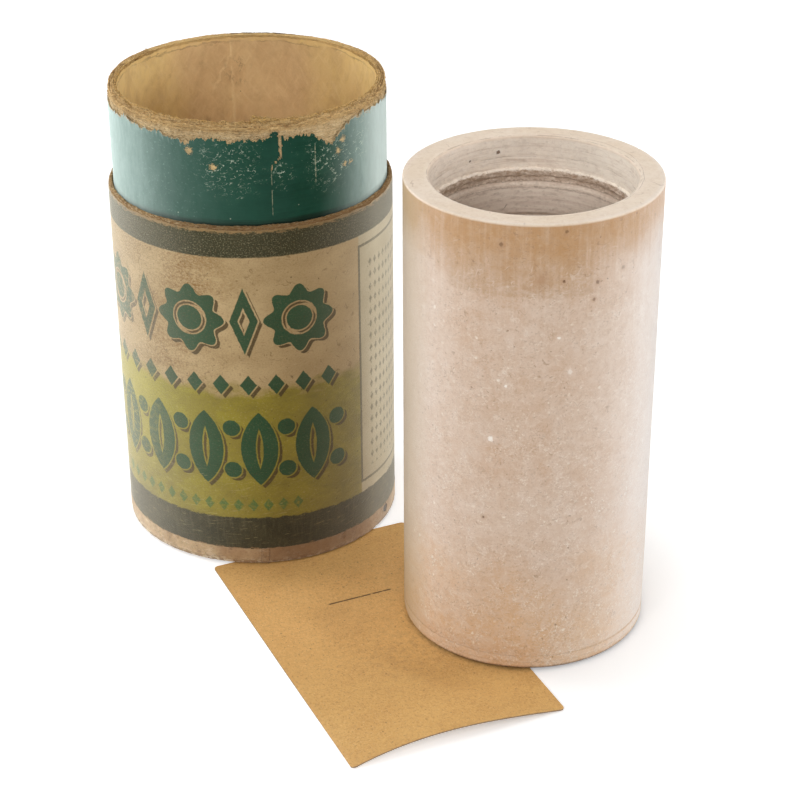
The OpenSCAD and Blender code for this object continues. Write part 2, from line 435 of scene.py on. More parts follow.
def waxProfile(s):
    wall = s["radius"]
    top = s["height"]
    outside = [(s["footBore"] + s["bevel"], 0)]
    outside += arc(wall - s["footRound"], s["footRound"], s["footRound"], -90, 0)
    outside += [(wall, s["mouldLine"] - 0.2), (wall - 0.06, s["mouldLine"]), (wall, s["mouldLine"] + 0.2)]
    outside += arc(wall - s["rimRound"], top - s["rimRound"], s["rimRound"], 0, 90)
    mouth = arc(s["mouth"] + s["bevel"], top - s["bevel"], s["bevel"], 90, 180)
    mouth += [(s["mouth"], top - s["mouthDeep"]), (s["ledge"], s["ledgeZ"])]
    bore = []
    z = s["ledgeZ"] - s["ringWide"] / 2
    slope = (s["ledge"] - s["footBore"]) / (s["ledgeZ"] - s["bevel"])
    while z > s["bevel"] + s["ringWide"]:
        radius = s["footBore"] + slope * (z - s["bevel"])
        deep = radius + s["ringDeep"]
        quarter = s["ringWide"] / 4
        bore += [(radius, z), (deep, z - quarter), (deep, z - 3 * quarter), (radius, z - s["ringWide"])]
        z -= s["ringPitch"]
    bore += [(s["footBore"], s["bevel"])]
    return [(r, z + standZ) for r, z in outside + mouth + bore]


def waxStep(radius, height):
    s = waxRecord
    up = height - standZ
    if radius > s["outside"]:
        return 0.4 if up < s["footZone"] else 3.0
    return 0.3 if up > s["fineAbove"] else 1.6


def waxMoved(bearing, radius, height):
    s = waxRecord
    up = height - standZ
    x, y = onRing(bearing, 1)
    if radius > s["radius"] - 0.6:
        # nicks along the rim's outer edge
        nick = max(0, rough(x * 30, y * 30, 3.1) - 0.35)
        radius += 0.03 * rough(x * 4, y * 4, up / 14)
        radius -= 0.25 * nick * ease((up - s["height"] + 2.5) / 2.4)
    elif up > s["height"] - 0.05:
        height += 0.05 * rough(x * 9, y * 9, radius / 2)
    elif up > s["ledgeZ"] + 0.7:
        # reamed land: fine turning marks and one groove
        radius += 0.025 * rough(up * 1.4, x * 1.2, y * 1.2)
        radius += 0.1 * bump(up, s["landGroove"] + 0.12 * rough(x * 3, y * 3), 0.16)
        radius += 0.05 * rough(x * 14, y * 14, up / 2)
    elif up > s["ledgeZ"] - 0.4:
        # broken edge of the ledge
        chip = 0.32 * rough(x * 7, y * 7, 1.7) + 0.3 * rough(x * 34, y * 34, 5.2)
        height += chip
        radius += 0.2 * rough(x * 30, y * 30, up)
    elif radius < s["boreMost"] and up > 1:
        # a crumbly collar under the ledge, smooth wax below it
        collar = ease((up - s["collarZ"]) / 0.6)
        near = ease((up - s["ledgeZ"] + 1.6) / 1.2)
        height += near * 0.32 * rough(x * 7, y * 7, 1.7)
        radius += collar * (0.16 * rough(x * 24, y * 24, up / 0.8) + 0.12 * rough(x * 5, y * 5, up * 1.3))
        radius += 0.04 * rough(x * 3, y * 3, up * 0.6)
    return bearing, radius, height


def waxPatterns():
    # places and patterns that several parts of the finish share
    wax = SimpleNamespace(place=placeOf(recordAxis))
    place = wax.place
    wax.x, wax.y, z = parts(place)
    wax.up = minus(z, standZ)
    wax.across = ringOf(wax.x, wax.y)
    wax.inside = times(ramp(wax.across, 23.6, 22.9), ramp(wax.up, 108.2, 107.2))
    wax.cloud = grain(place, 19, 0.36, 0.64, 3, 0.5)
    wax.patch = grain(place, (4, 4, 6), 0.46, 0.74, 7, 0.75)
    wax.patchy = grain(place, (3.4, 3.4, 2.6), 0.44, 0.6, 6, 0.75, warp=0.8)
    wax.streak = grain(place, (0.8, 0.8, 24), 0.44, 0.7, 4, 0.65)
    wax.mottle = grain(place, 0.6, 0.3, 0.7, 3, 0.75)
    wax.swirl = grain(place, (1.7, 1.7, 1.3), 0.5, 0.62, 6, 0.8, warp=1.4)
    wax.fine = grain(place, (2.0, 2.0, 0.8), 0.5, 0.64, 5, 0.75)
    wax.marks = grain(place, (14, 14, 0.5), 0.5, 0.74, 4, 0.65)
    wax.crust = grain(place, (1.1, 1.1, 0.6), 0.4, 0.62, 5, 0.75)
    veins = cracks(shaken(place, 5, 4), (9, 9, 9), 0.016)
    wax.veins = times(veins, grain(place, 5, 0.57, 0.62, 3, 0.6))
    drip = plus(wax.up, between(grain(place, (1.8, 1.8, 10), 0.2, 0.8, 4, 0.65), 0, 3.4))
    wax.drip = plus(drip, between(grain(place, 10, 0.3, 0.7, 3, 0.5), 0, 4.6))
    return wax


def waxWall(wax):
    # plain wax, cloudy with a pale bloom over the middle of the wall
    place, up = wax.place, wax.up
    body = mix(wax.cloud, colour(203, 168, 138), colour(209, 180, 155))
    wide = grain(place, (15, 15, 26), 0.36, 0.62, 2, 0.5)
    middle = times(ramp(up, 16, 46), ramp(up, 106, 84))
    body = coat(body, times(wax.patch, middle, between(wide, 0.3, 0.85)), (230, 211, 195))
    body = coat(body, times(middle, between(wide, 0.1, 0.42)), (219, 198, 180))
    body = coat(body, ramp(swayed(up, wax.cloud, 7), 32, 10), (219, 181, 140), 0.8)
    # rubbed streaks, the yellow brown band under the rim and a squarish patch below it
    body = coat(body, times(wax.streak, ramp(up, 66, 101, 0.04, 0.5)), (226, 206, 187))
    square = times(band(up, 91.8, 104, 0.3), band(wax.x, -18, 11, 0.8), ramp(wax.y, 0, -8))
    square = times(square, grain(place, (1.2, 1.2, 12), 0.3, 0.6, 4, 0.6))
    body = coat(body, square, (186, 150, 114), 0.7)
    brown = times(ramp(wax.drip, 97, 107.5), ramp(up, 108.2, 107.6), between(wax.streak, 1, 0.7))
    return coat(body, brown, (190, 146, 98), 0.92)


def waxWear(wax, body):
    # crooked bloom, crumbs of wax and dark pits, thick in some places and thin in others
    place, up = wax.place, wax.up
    crowd = grain(place, (7, 7, 9), 0.38, 0.62, 5, 0.7)
    swirled = times(wax.swirl, between(crowd, 0.14, 0.5), ramp(up, 103, 90, 0.1, 1))
    body = coat(body, swirled, (234, 217, 200))
    worn = grain(place, (1.3, 1.3, 1.6), 0.52, 0.64, 6, 0.8, warp=1.0)
    body = coat(body, worn, (176, 140, 108), 0.32)
    body = coat(body, times(wax.patchy, ramp(up, 102, 88, 0.1, 0.38)), (228, 209, 192))
    lines = times(hairs(place, (2.6, 2.6, 2.2), 0.022), grain(place, 2.4, 0.5, 0.58))
    body = coat(body, times(lines, ramp(up, 104, 92, 0.1, 0.36)), (240, 227, 212))
    nicks = times(hairs(place, (3.6, 3.6, 4.2), 0.012), grain(place, 1.6, 0.54, 0.6))
    body = coat(body, nicks, (156, 120, 88), 0.5)
    wall = times(ramp(wax.across, 26.5, 27.3), ramp(up, 101, 40, 0.0, 1))
    heaps = grain(place, (5, 5, 6), 0.46, 0.64, 6, 0.8)
    pale = times(grain(place, 0.5, 0.53, 0.63, 3, 0.75), between(heaps, 0.06, 1), wall)
    loose = specks(shaken(place, 1, 0.9), 2.2, 0.24, 0.4)
    loose = times(loose, between(heaps, 0.3, 1), ramp(wall, 0, 0.3))
    sparks = specks(shaken(place, 0.8, 0.9), 1.3, 0.2, 0.3)
    sparks = times(sparks, between(heaps, 0.15, 1), ramp(wall, 0.3, 0.9))
    wax.pale = most(pale, loose, sparks)
    body = coat(body, wax.pale, (252, 242, 228), 0.85)
    dark = times(grain(place, (0.5, 0.5, 0.4), 0.58, 0.68, 3, 0.7), between(crowd, 0.2, 0.6))
    wax.dark = most(dark, times(specks(shaken(place, 1, 0.9), 2.4, 0.14, 0.4), 0.8))
    body = coat(body, wax.dark, (138, 104, 74), 0.75)
    soot = specks(shaken(place, 1, 1.2), 1.5, 0.2, 0.4)
    soot = times(soot, spot(place, 14.5, -23.5, 9, None, 0.3, 91.5))
    return coat(body, soot, (122, 92, 66), 0.75)


def waxSoilAndShade(wax, body):
    # soiled where it stands, with a painted contact shadow at the very foot, and duller on the side
    # towards the carton as a painted reflection of the carton
    tide = swayed(wax.up, wax.mottle, 0.2)
    tideLines = most(band(tide, 3.55, 3.7, 0.12), band(tide, 1.9, 2.0, 0.12))
    body = coat(body, times(tideLines, between(wax.patchy, 0.2, 0.5)), (140, 102, 70))
    # painted contact shadow: darkest at the very foot, where it stands
    body = coat(body, ramp(tide, 1.1, 0.3, 0, 0.95), (88, 58, 36))
    # painted reflection: duller and browner on the side towards the carton
    return coat(body, ramp(wax.x, -22, -27.5), (180, 152, 104), 0.8)


def waxRim(wax):
    tone = mix(wax.cloud, colour(236, 215, 190), colour(241, 223, 203))
    tone = coat(tone, wax.patch, (248, 236, 220), 0.5)
    tone = coat(tone, wax.swirl, (216, 190, 160), 0.35)
    tone = coat(tone, wax.fine, (194, 164, 134), 0.15)
    return coat(tone, wax.veins, (160, 126, 94), 0.35)


def waxLand(wax):
    # grey reamed land with a few scored lines
    tone = mix(wax.marks, colour(253, 239, 223), colour(221, 199, 180))
    tone = coat(tone, wax.patch, (204, 184, 167), 0.35)
    # painted light: the land paler on the right
    tone = coat(tone, ramp(wax.x, 4, 16), (255, 247, 233), 0.5)
    scores = swayed(wax.up, grain(wax.place, 8, 0.3, 0.7, 3, 0.6), 0.35)
    scores = most(band(scores, 103.0, 103.1, 0.08), band(scores, 105.4, 105.44, 0.06))
    wax.scores = times(scores, grain(wax.place, (6, 6, 3), 0.42, 0.56, 4, 0.7))
    tone = coat(tone, wax.scores, (144, 118, 98), 0.6)
    tone = coat(tone, wax.swirl, (252, 243, 232), 0.3)
    return coat(tone, wax.fine, (186, 164, 146), 0.3)


def waxBore(wax, wavy):
    # brown rough bore, with painted shade lower down, and the crumbly collar under the ledge
    rings = grain(wax.place, (16, 16, 0.7), 0.36, 0.66, 3, 0.6)
    tone = mix(rings, colour(242, 228, 212), colour(222, 202, 186))
    # painted shade: darker lower down the bore
    tone = coat(tone, ramp(wax.up, 96, 86, 0, 0.4), (188, 164, 146))
    tone = coat(tone, wax.patch, (214, 192, 174), 0.3)
    tone = coat(tone, wax.fine, (164, 140, 122), 0.45)
    tone = coat(tone, wax.mottle, (252, 242, 230), 0.25)
    tone = coat(tone, wax.veins, (126, 100, 80), 0.6)
    collarTone = mix(wax.crust, colour(184, 156, 132), colour(244, 227, 210))
    collarTone = coat(collarTone, rings, (176, 148, 124), 0.3)
    collar = times(ramp(wavy, 95.6, 98.4), ramp(wavy, 100.2, 99.8))
    tone = mix(collar, tone, collarTone)
    lines = most(band(wavy, 97.3, 97.5, 0.12), band(wavy, 95.9, 96.02, 0.1))
    return coat(tone, lines, (112, 86, 66), 0.6)


def waxMouth(wax, body):
    # land and bore meet at the ledge, whose broken edge gets a painted highlight
    wavy = swayed(wax.up, wax.crust, 0.2)
    tone = mix(ramp(wavy, 99.95, 100.15), waxBore(wax, wavy), waxLand(wax))
    bright = times(band(wavy, 100.16, 100.26, 0.06), ramp(wax.crust, 0.2, 0.7, 0.1, 0.7))
    body = mix(wax.inside, body, coat(tone, bright, (250, 240, 228)))
    # broken dark line along the mouth
    lip = times(band(wax.across, 22.62, 22.72, 0.08), ramp(wax.up, 107.2, 107.5))
    lip = times(lip, grain(wax.place, (5, 5, 5), 0.44, 0.56, 4, 0.7))
    scored = band(swayed(wax.across, wax.cloud, 0.5), 23.6, 23.68, 0.06)
    scored = times(scored, ramp(wax.up, 107.5, 107.9), ramp(wax.x, 0, 8))
    lip = most(lip, times(scored, grain(wax.place, (6, 6, 6), 0.42, 0.54, 4, 0.7)))
    return coat(body, lip, (134, 98, 72), 0.75)


def waxMaterial():
    material, shader = newMaterial("wax", 0.5, 0.25, 1.0, 0.8)
    wax = waxPatterns()
    x, up = wax.x, wax.up
    body = waxSoilAndShade(wax, waxWear(wax, waxWall(wax)))
    body = mix(ramp(up, 107.5, 107.9), body, waxRim(wax))
    body = waxMouth(wax, body)
    # blow holes and the larger pale grains
    for hole in waxHoles:
        at = fromPolar(hole["bearing"], hole["radius"], hole["up"] + standZ, Vector((0, 0, 0))) / mm
        crooked = between(wax.mottle, -0.45 * hole["size"], 0.45 * hole["size"])
        halo = spot(wax.place, at.x, at.y, hole["size"] * 2.6, crooked, 0.35, at.z)
        body = mix(times(halo, 0.4), body, hole["halo"])
        pit = spot(wax.place, at.x, at.y, hole["size"], crooked, 0.55, at.z)
        body = mix(times(pit, hole["mark"]), body, hole["tone"])
    put(body, shader.inputs["Base Color"])
    put(between(wax.patch, 0.42, 0.6), shader.inputs["Roughness"])
    # bloom lies on the wall only, less of it towards the carton
    dusty = times(ramp(wax.across, 26.5, 27.4), ramp(wax.drip, 108, 98, 0.35, 1))
    dusty = times(dusty, most(ramp(up, 8, 34, 0.3, 1), ramp(x, -6, 24, 0, 0.9)))
    dusty = times(dusty, ramp(up, 1.0, 2.0), between(band(up, 3.3, 3.9, 0.1), 1, 0.2))
    edgeDust(shader, times(dusty, ramp(x, -12, -26, 0.82, 0.45), ramp(x, 16, 25, 1, 1.2)))
    crusty = times(wax.crust, wax.inside, band(up, 97.6, 100.2, 0.4))
    relief(
        shader, (wax.mottle, 0.02), (wax.streak, 0.006), (wax.pale, 0.05), (wax.dark, -0.06),
        (wax.swirl, 0.02), (crusty, 0.09), (wax.marks, 0.006), (wax.scores, -0.04),
    )
    return material


paleGrain = {"radius": 27.8, "tone": colour(252, 243, 232), "halo": colour(228, 208, 192)}
wallPit = {"radius": 27.8, "tone": colour(108, 74, 46), "halo": colour(182, 142, 106)}
landPit = {"radius": 22.3, "tone": wallPit["tone"], "halo": paleGrain["tone"]}
wallStain = {"radius": 27.8, "tone": wallPit["halo"], "halo": wallPit["halo"]}
waxHoles = [
    {**wallPit, "bearing": -22.6, "up": 38.8, "size": 0.35, "mark": 0.9},
    {**landPit, "bearing": -163, "up": 104.4, "size": 0.55, "mark": 0.85},
    {**landPit, "bearing": -144.7, "up": 103.5, "size": 0.3, "mark": 0.9},
    {**wallPit, "bearing": -16.8, "up": 103.4, "size": 0.5, "mark": 0.6},
    {**wallPit, "bearing": 10.5, "up": 106.4, "size": 0.4, "mark": 0.6},
    {**wallPit, "bearing": 10.0, "up": 95.5, "size": 0.42, "mark": 0.85},
    {**wallPit, "bearing": 25.5, "up": 94.3, "size": 0.5, "mark": 0.7},
    {**wallPit, "bearing": 24.0, "up": 90.5, "size": 0.35, "mark": 0.6},
    {**wallPit, "bearing": 38.7, "up": 96.0, "size": 0.5, "mark": 0.45},
    {**wallStain, "bearing": 0.4, "up": 96.0, "size": 1.0, "mark": 0.4},
    {**paleGrain, "bearing": -20.0, "up": 58.3, "size": 0.7, "mark": 0.95},
    {**paleGrain, "bearing": -13.7, "up": 71.4, "size": 0.4, "mark": 0.9},
    {**paleGrain, "bearing": 8.8, "up": 82.7, "size": 0.4, "mark": 0.8},
    {**paleGrain, "bearing": 14.2, "up": 74.6, "size": 0.7, "mark": 0.5},
]

bm = lathe(waxProfile(waxRecord), recordAxis, waxRecord["steps"], waxStep)
reshape(bm, recordAxis, waxMoved)
newPiece("waxRecord", bm, "record", ["record"], [waxMaterial()])
print("record made")


# Strawboard

def boardMaterial(name, light, dark):
    material, shader = newMaterial(name, 0.9, 0.2)
    place = placeOf(cartonAxis)
    x, y, z = parts(place)
    across = ringOf(x, y)
    # straw laid round the tube: drawn-out fibres, pale strands and dark gaps between them
    fibre = grain(place, (1.5, 1.5, 0.24), 0.36, 0.64, 5, 0.75, warp=0.5)
    strand = grain(place, (0.9, 0.9, 0.16), 0.5, 0.62, 3, 0.7, warp=0.5)
    blotch = grain(place, 4.0, 0.38, 0.66, 4, 0.6)
    crumb = grain(place, 0.36, 0.44, 0.62, 2, 0.6)
    tone = mix(fibre, dark, light)
    tone = mix(times(blotch, 0.3), tone, mix(0.5, dark, colour(150, 112, 76)))
    # the plies of the rim: yellow ones inside, browner ones outside, thin dark lines between
    plies = swayed(across, fibre, 0.2)
    tone = coat(tone, ramp(plies, 31.3, 30.5, 0, 0.6), (232, 196, 122))
    seam = ramp(calc("PINGPONG", plies, 0.26), 0.09, 0.02)
    seam = times(seam, ramp(across, 32.15, 32.0), grain(place, 3.0, 0.4, 0.55, 3, 0.6))
    tone = mix(times(crumb, 0.35), tone, mix(0.6, dark, colour(120, 88, 58)))
    tone = mix(times(strand, 0.75), tone, mix(0.5, light, colour(255, 238, 196)))
    strata = grain(place, (7, 7, 0.4), 0.54, 0.66, 4, 0.7, warp=0.3)
    tone = coat(tone, strata, (116, 82, 52), 0.5)
    tone = coat(tone, seam, (112, 78, 48), 0.7)
    shade = grain(place, (0.8, 0.8, 0.26), 0.56, 0.66, 4, 0.75, warp=0.8)
    tone = coat(tone, shade, (108, 76, 48), 0.65)
    high = ramp(swayed(z, fibre, 0.4), 110.2, 111.2, 0, 0.5)
    tone = mix(high, tone, mix(1.0, tone, colour(226, 198, 140), "MULTIPLY"))
    # the sound rim at the back is paler, with a dark outer line from the lining's lap on
    sound = times(ramp(y, 14, 26), ramp(z, 111, 112))
    tone = coat(tone, sound, (236, 200, 138), 0.6)
    line = times(ramp(y, 14, 26), ramp(z, 110, 111), ramp(across, 31.1, 31.4))
    line = times(line, ramp(x, -5.9, -5.6), ramp(x, 14, 6))
    tone = coat(tone, line, (74, 56, 38), 0.8)
    # browned round the front of the shoulder
    handlingAndShade = times(ramp(z, 100, 95), ramp(across, 32.5, 32.8), ramp(x, -22, -4))
    tone = coat(tone, handlingAndShade, (116, 84, 48), 0.6)
    soot = times(specks(place, 1.1, 0.2, 0.3), 0.7)
    tone = coat(tone, soot, (84, 58, 38))
    put(tone, shader.inputs["Base Color"])
    relief(shader, (fibre, 0.1), (strand, 0.06), (shade, -0.08), (crumb, -0.04), (soot, -0.05))
    return material


boardTan = boardMaterial("strawboard", colour(252, 226, 176), colour(208, 172, 120))
boardBrown = boardMaterial("strawboardWorn", colour(196, 160, 110), colour(126, 98, 66))

neckBoard = {
    "bore": 30.1, "wall": 32.12, "sleeve": 31.95, "outside": 31.5, "foot": 0.9, "shoulder": 87.2,
    "frayFoot": 101.0, "rim": 112.63, "plies": 4, "steps": 900,
}


def neckStep(radius, height):
    s = neckBoard
    if height > s["rim"] - 0.3:
        return 0.075
    if height > s["frayFoot"] - 1 and radius > s["outside"]:
        return 0.36
    return 6.0


def plyTop(radius, bearing):
    # height of the torn rim: each ply of the board ends at its own ragged line
    s = neckBoard
    ply = (s["wall"] - s["bore"]) / s["plies"]
    share = (radius - s["bore"]) / ply
    which = min(max(int(share), 0), s["plies"] - 1)
    x, y = onRing(bearing, 1)
    worn = 0.06 + 0.94 * ease((115 - abs(bearing)) / 40)
    ragged = 0.36 * rough(x * 6, y * 6, which * 3.7) + 0.34 * rough(x * 24, y * 24, which * 5.1)
    ragged += 0.24 * rough(x * 90, y * 90, which * 2.3 + radius)
    outer = max(0, (radius - s["bore"]) / (s["wall"] - s["bore"]))
    fall = -1.15 * worn * outer ** 2.2 * (0.75 + 0.6 * rough(x * 5, y * 5, 9.2))
    cleft = abs(share - round(share))
    split = 0.6 * bump(cleft, 0, 0.16) * ease(0.5 + 1.8 * rough(x * 4, y * 4, round(share) * 4.4))
    if share < 0.2 or share > s["plies"] - 0.2:
        split = 0.08
    split *= 0.3 + 0.7 * worn
    # the split that opens to the right of the lifted lip
    split += 1.3 * bump(bearing, 26, 7.5) * bump(share, 2.2 + 0.3 * rough(x * 9, y * 9), 0.5)
    return ragged * (0.2 + 0.8 * worn) + fall - split


def neckMoved(bearing, radius, height):
    s = neckBoard
    x, y = onRing(bearing, 1)
    if height > s["rim"] - 0.05:
        height += plyTop(radius, bearing)
        radius += 0.05 * rough(x * 60, y * 60, radius * 3)
    elif height > s["frayFoot"] - 1 and radius > s["outside"]:
        near = ease((height - 103.5) / 6)
        frayed = rough(x * 26, y * 26, height * 1.1)
        coarse = rough(x * 7, y * 7, height / 2.6)
        radius += near * (0.16 * frayed + 0.2 * coarse) - 0.06 * near
        height += 0.8 * plyTop(s["wall"], bearing) * ease((height - 108) / 4.2)
    elif height > s["frayFoot"] - 1:
        radius += 0.05 * rough(x * 14, y * 14, height / 2)
        height += plyTop(s["bore"], bearing) * ease((height - 109) / 3)
    return bearing, radius, height


def neckProfile(s):
    return [
        (s["bore"], s["foot"]), (s["sleeve"], s["foot"]), (s["sleeve"], s["shoulder"]),
        (s["wall"], s["shoulder"]), (s["wall"], s["frayFoot"]), (s["wall"], s["rim"]),
        (s["bore"], s["rim"]), (s["bore"], s["frayFoot"]),
    ]


bm = lathe(neckProfile(neckBoard), cartonAxis, neckBoard["steps"], neckStep)
reshape(bm, cartonAxis, neckMoved)
newPiece("neckBoard", bm, "carton", ["inner_tube"], [boardTan])
print("neck board made")

rimFibres = {"count": 700, "onRim": 0.45, "long": 1.8, "thick": 0.05, "seed": 7}


def makeFibres(s):
    # loose straw fibres that stand off the torn rim and the frayed board below it
    random.seed(s["seed"])
    curve = bpy.data.curves.new("rimFibres", "CURVE")
    curve.dimensions = "3D"
    curve.bevel_depth = s["thick"] * mm
    curve.bevel_resolution = 0
    curve.resolution_u = 3
    for _ in range(s["count"]):
        bearing = random.triangular(-165, 165, 0)
        below = random.random() > s["onRim"]
        if below:
            radius = neckBoard["wall"] + 0.02
            height = random.uniform(108.8, 111.4)
        else:
            radius = random.uniform(30.3, 31.9)
            height = neckBoard["rim"] + plyTop(radius, bearing)
        heading = random.uniform(-1, 1)
        length = s["long"] * random.uniform(0.35, 1)
        spline = curve.splines.new("NURBS")
        spline.points.add(3)
        spline.use_endpoint_u = True
        spline.order_u = 3
        for i in range(4):
            t = i / 3
            stand = 0.28 * math.sin(t * 2.2) * random.uniform(0.4, 1)
            turned = bearing + heading * length * t * 1.6
            out = radius + (stand if below else random.uniform(-0.2, 0.2) * t)
            up = height + length * t * (0.25 * random.uniform(-1, 1) if below else 0.22)
            spline.points[i].co = (*fromPolar(turned, out, up, cartonAxis), 1)
    holder = bpy.data.objects.new("rimFibresCurve", curve)
    bpy.context.scene.collection.objects.link(holder)
    depsgraph = bpy.context.evaluated_depsgraph_get()
    mesh = bpy.data.meshes.new_from_object(holder.evaluated_get(depsgraph))
    bpy.data.objects.remove(holder)
    bm = bmesh.new()
    bm.from_mesh(mesh)
    bpy.data.meshes.remove(mesh)
    newPiece("rimFibres", bm, "carton", [], [boardTan])


makeFibres(rimFibres)

liftedLip = {
    "start": 4.2, "end": 18.5, "radius": 30.75, "root": 0.9, "high": 1.35, "thick": 0.35,
    "columns": 90, "rows": 14,
}


def lipSheet(s):
    # scrap of the innermost ply that has come loose and stands up at its left end
    bm = flatSheet(1, 0, 1, s["columns"], s["rows"])
    for vert in bm.verts:
        t = vert.co.x + 0.5
        share = vert.co.y
        rise = s["high"] * ease(t / 0.1) * (1 - t) ** 0.8 * (1 + 0.35 * rough(t * 9, 2.0))
        up = neckBoard["rim"] - s["root"] + share * (s["root"] + rise)
        up += 0.12 * share * rough(t * 26, 5.0)
        radius = s["radius"] - 0.75 * share * rise + 0.12 * rough(t * 8, share * 2, 3.0)
        bearing = s["start"] + (s["end"] - s["start"]) * t + 0.6 * share * rough(share * 3, 8.0)
        vert.co = fromPolar(bearing, radius, up, cartonAxis)
    piece = newPiece("liftedLip", bm, "carton", [], [boardTan])
    thicken(piece, s["thick"], 0, 0)


lipSheet(liftedLip)

outerBoard = {
    "bore": 32.0, "wall": 33.42, "foot": 0.9, "top": 88.9, "wornFoot": 87.5, "slope": 87.2, "steps": 600,
}


def shoulderStep(radius, height):
    s = outerBoard
    return 0.12 if height > s["wornFoot"] and radius > s["bore"] + 0.05 else 8.0


def shoulderMoved(bearing, radius, height):
    s = outerBoard
    x, y = onRing(bearing, 1)
    if height > s["wornFoot"] - 0.05 and radius > s["bore"] + 0.4:
        near = ease((height - s["wornFoot"] + 0.1) / 0.9)
        height += near * (0.16 * rough(x * 12, y * 12, radius) + 0.12 * rough(x * 60, y * 60, radius * 2))
        if radius > s["wall"] - 0.4:
            radius += near * 0.1 * rough(x * 40, y * 40, height)
    return bearing, radius, height


def shoulderProfile(s):
    # the top edge is worn round, and slopes down to the neck
    return [
        (s["bore"], s["foot"]), (s["wall"], s["foot"]), (s["wall"], s["wornFoot"]),
        (s["wall"], s["top"] - 0.6), (s["wall"] - 0.17, s["top"] - 0.15), (s["wall"] - 0.47, s["top"]),
        (s["bore"] + 0.6, s["top"] - 0.05), (s["bore"] + 0.45, s["top"] - 0.5), (s["bore"], s["slope"]),
    ]


bm = lathe(shoulderProfile(outerBoard), cartonAxis, outerBoard["steps"], shoulderStep)
reshape(bm, cartonAxis, shoulderMoved)
newPiece("outerBoard", bm, "carton", ["outer_tube"], [boardBrown])
print("outer board made")


# Lining paper of the well

liningPaper = {
    "radius": 30.0, "foot": 2.81, "top": 112.0, "thick": 0.1, "lap": 6.0, "seam": -174,
    "columns": 420, "rows": 60,
}
liningEnd = (math.tau * liningPaper["radius"] + liningPaper["lap"]) / 2


def liningPatterns():
    # places and patterns that several parts of the finish share
    lining = SimpleNamespace(place=placeOf(cartonAxis), flat=flatOf())
    place, flat = lining.place, lining.flat
    lining.x, lining.y, lining.z = parts(place)
    lining.stain = grain(place, (7, 7, 10), 0.42, 0.7, 6, 0.68, warp=0.4)
    strokes = grain(flat, (1.1, 7, 1), 0.52, 0.7, 4, 0.6, turn=-38, warp=0.5)
    lining.strokes = most(strokes, grain(flat, (0.9, 5, 1), 0.54, 0.7, 4, 0.6, turn=30, warp=0.5))
    lining.rub = grain(flat, (2.2, 5, 1), 0.5, 0.68, 4, 0.65, turn=20)
    lining.fibre = grain(place, 0.45, 0.3, 0.7, 3, 0.7)
    return lining


def liningStock(lining):
    # stained paper, paler in places, with strokes of the paste brush
    place, x = lining.place, lining.x
    wash = grain(place, 26, 0.36, 0.64, 3, 0.5)
    # painted light: paler and yellower towards the sides of the well, and lightest on the left
    side = ramp(absolute(swayed(x, wash, 8)), 8, 27)
    tone = mix(side, colour(222, 185, 134), colour(230, 197, 126))
    tone = coat(tone, ramp(x, -16, -27, 0, 0.7), (252, 220, 150))
    tone = coat(tone, lining.stain, (176, 132, 90), 0.5)
    pale = grain(place, (5, 5, 9), 0.5, 0.74, 5, 0.65)
    tone = coat(tone, pale, (232, 202, 146), 0.4)
    tone = coat(tone, lining.strokes, (246, 218, 164), 0.26)
    return coat(tone, lining.rub, (178, 136, 94), 0.2)


def liningMarks(lining, tone):
    # the lap's pale edge, and a fold that slants away from it, drawn as a painted highlight along the fold
    # with painted shade in a patch beside it
    place, flat, z = lining.place, lining.flat, lining.z
    along, _, _ = parts(flat)
    lapEdge = ramp(along, liningEnd - 1.1, liningEnd - 0.2)
    lapEdge = times(lapEdge, grain(flat, (1, 3, 1), 0.4, 0.6, 3, 0.6))
    tone = coat(tone, lapEdge, (250, 224, 170), 0.5)
    slant = minus(lining.x, ramp(z, 99, 109, -10.4, -5.6))
    slant = swayed(slant, grain(place, 2.6), 0.6)
    # painted highlight along the fold
    fold = times(band(slant, -0.2, 0.2, 0.25), band(z, 99, 109, 1.5), ramp(lining.y, 10, 18))
    tone = coat(tone, fold, (246, 216, 162), 0.55)
    # painted shade beside the fold
    handlingAndShade = spot(place, -4.4, 30, 4.5, z=103.5)
    handlingAndShade = times(handlingAndShade, grain(place, (1.4, 4, 2.2), 0.5, 0.66, 4, 0.65))
    tone = coat(tone, handlingAndShade, (122, 86, 62), 0.6)
    # blots and flecks all over
    blot = specks(place, 7.0, 0.22, 0.3, soft=0.1)
    blot = times(blot, grain(place, 1.6, 0.35, 0.6, 4, 0.7))
    tone = coat(tone, blot, (126, 88, 60), 0.6)
    return coat(tone, specks(place, 4.0, 0.08, 0.5), (92, 64, 42), 0.7)


def liningHem(lining, tone):
    # the frayed top: a brown crease with a yellow torn edge above it
    flat = lining.flat
    hem = swayed(lining.z, grain(flat, (5, 2, 1), 0.3, 0.7, 5, 0.7), 0.8)
    crease = times(band(hem, 111.0, 111.2, 0.2), grain(flat, (9, 5, 1), 0.36, 0.52, 3, 0.6))
    tone = coat(tone, crease, (122, 84, 50), 0.75)
    frayed = times(ramp(hem, 111.2, 111.5), between(lining.rub, 0.4, 1))
    return coat(tone, frayed, (240, 206, 132), 0.7)


def liningMaterial():
    material, shader = newMaterial("liningPaper", 0.6, 0.35)
    lining = liningPatterns()
    tone = liningMarks(lining, liningStock(lining))
    tone = coat(tone, lining.fibre, (240, 212, 160), 0.2)
    # painted shade, darker down in the well
    tone = coat(tone, ramp(lining.z, 90, 30), (150, 110, 74), 0.3)
    put(liningHem(lining, tone), shader.inputs["Base Color"])
    relief(shader, (lining.fibre, 0.02), (lining.rub, 0.03), (lining.strokes, 0.03), (lining.stain, 0.06))
    return material


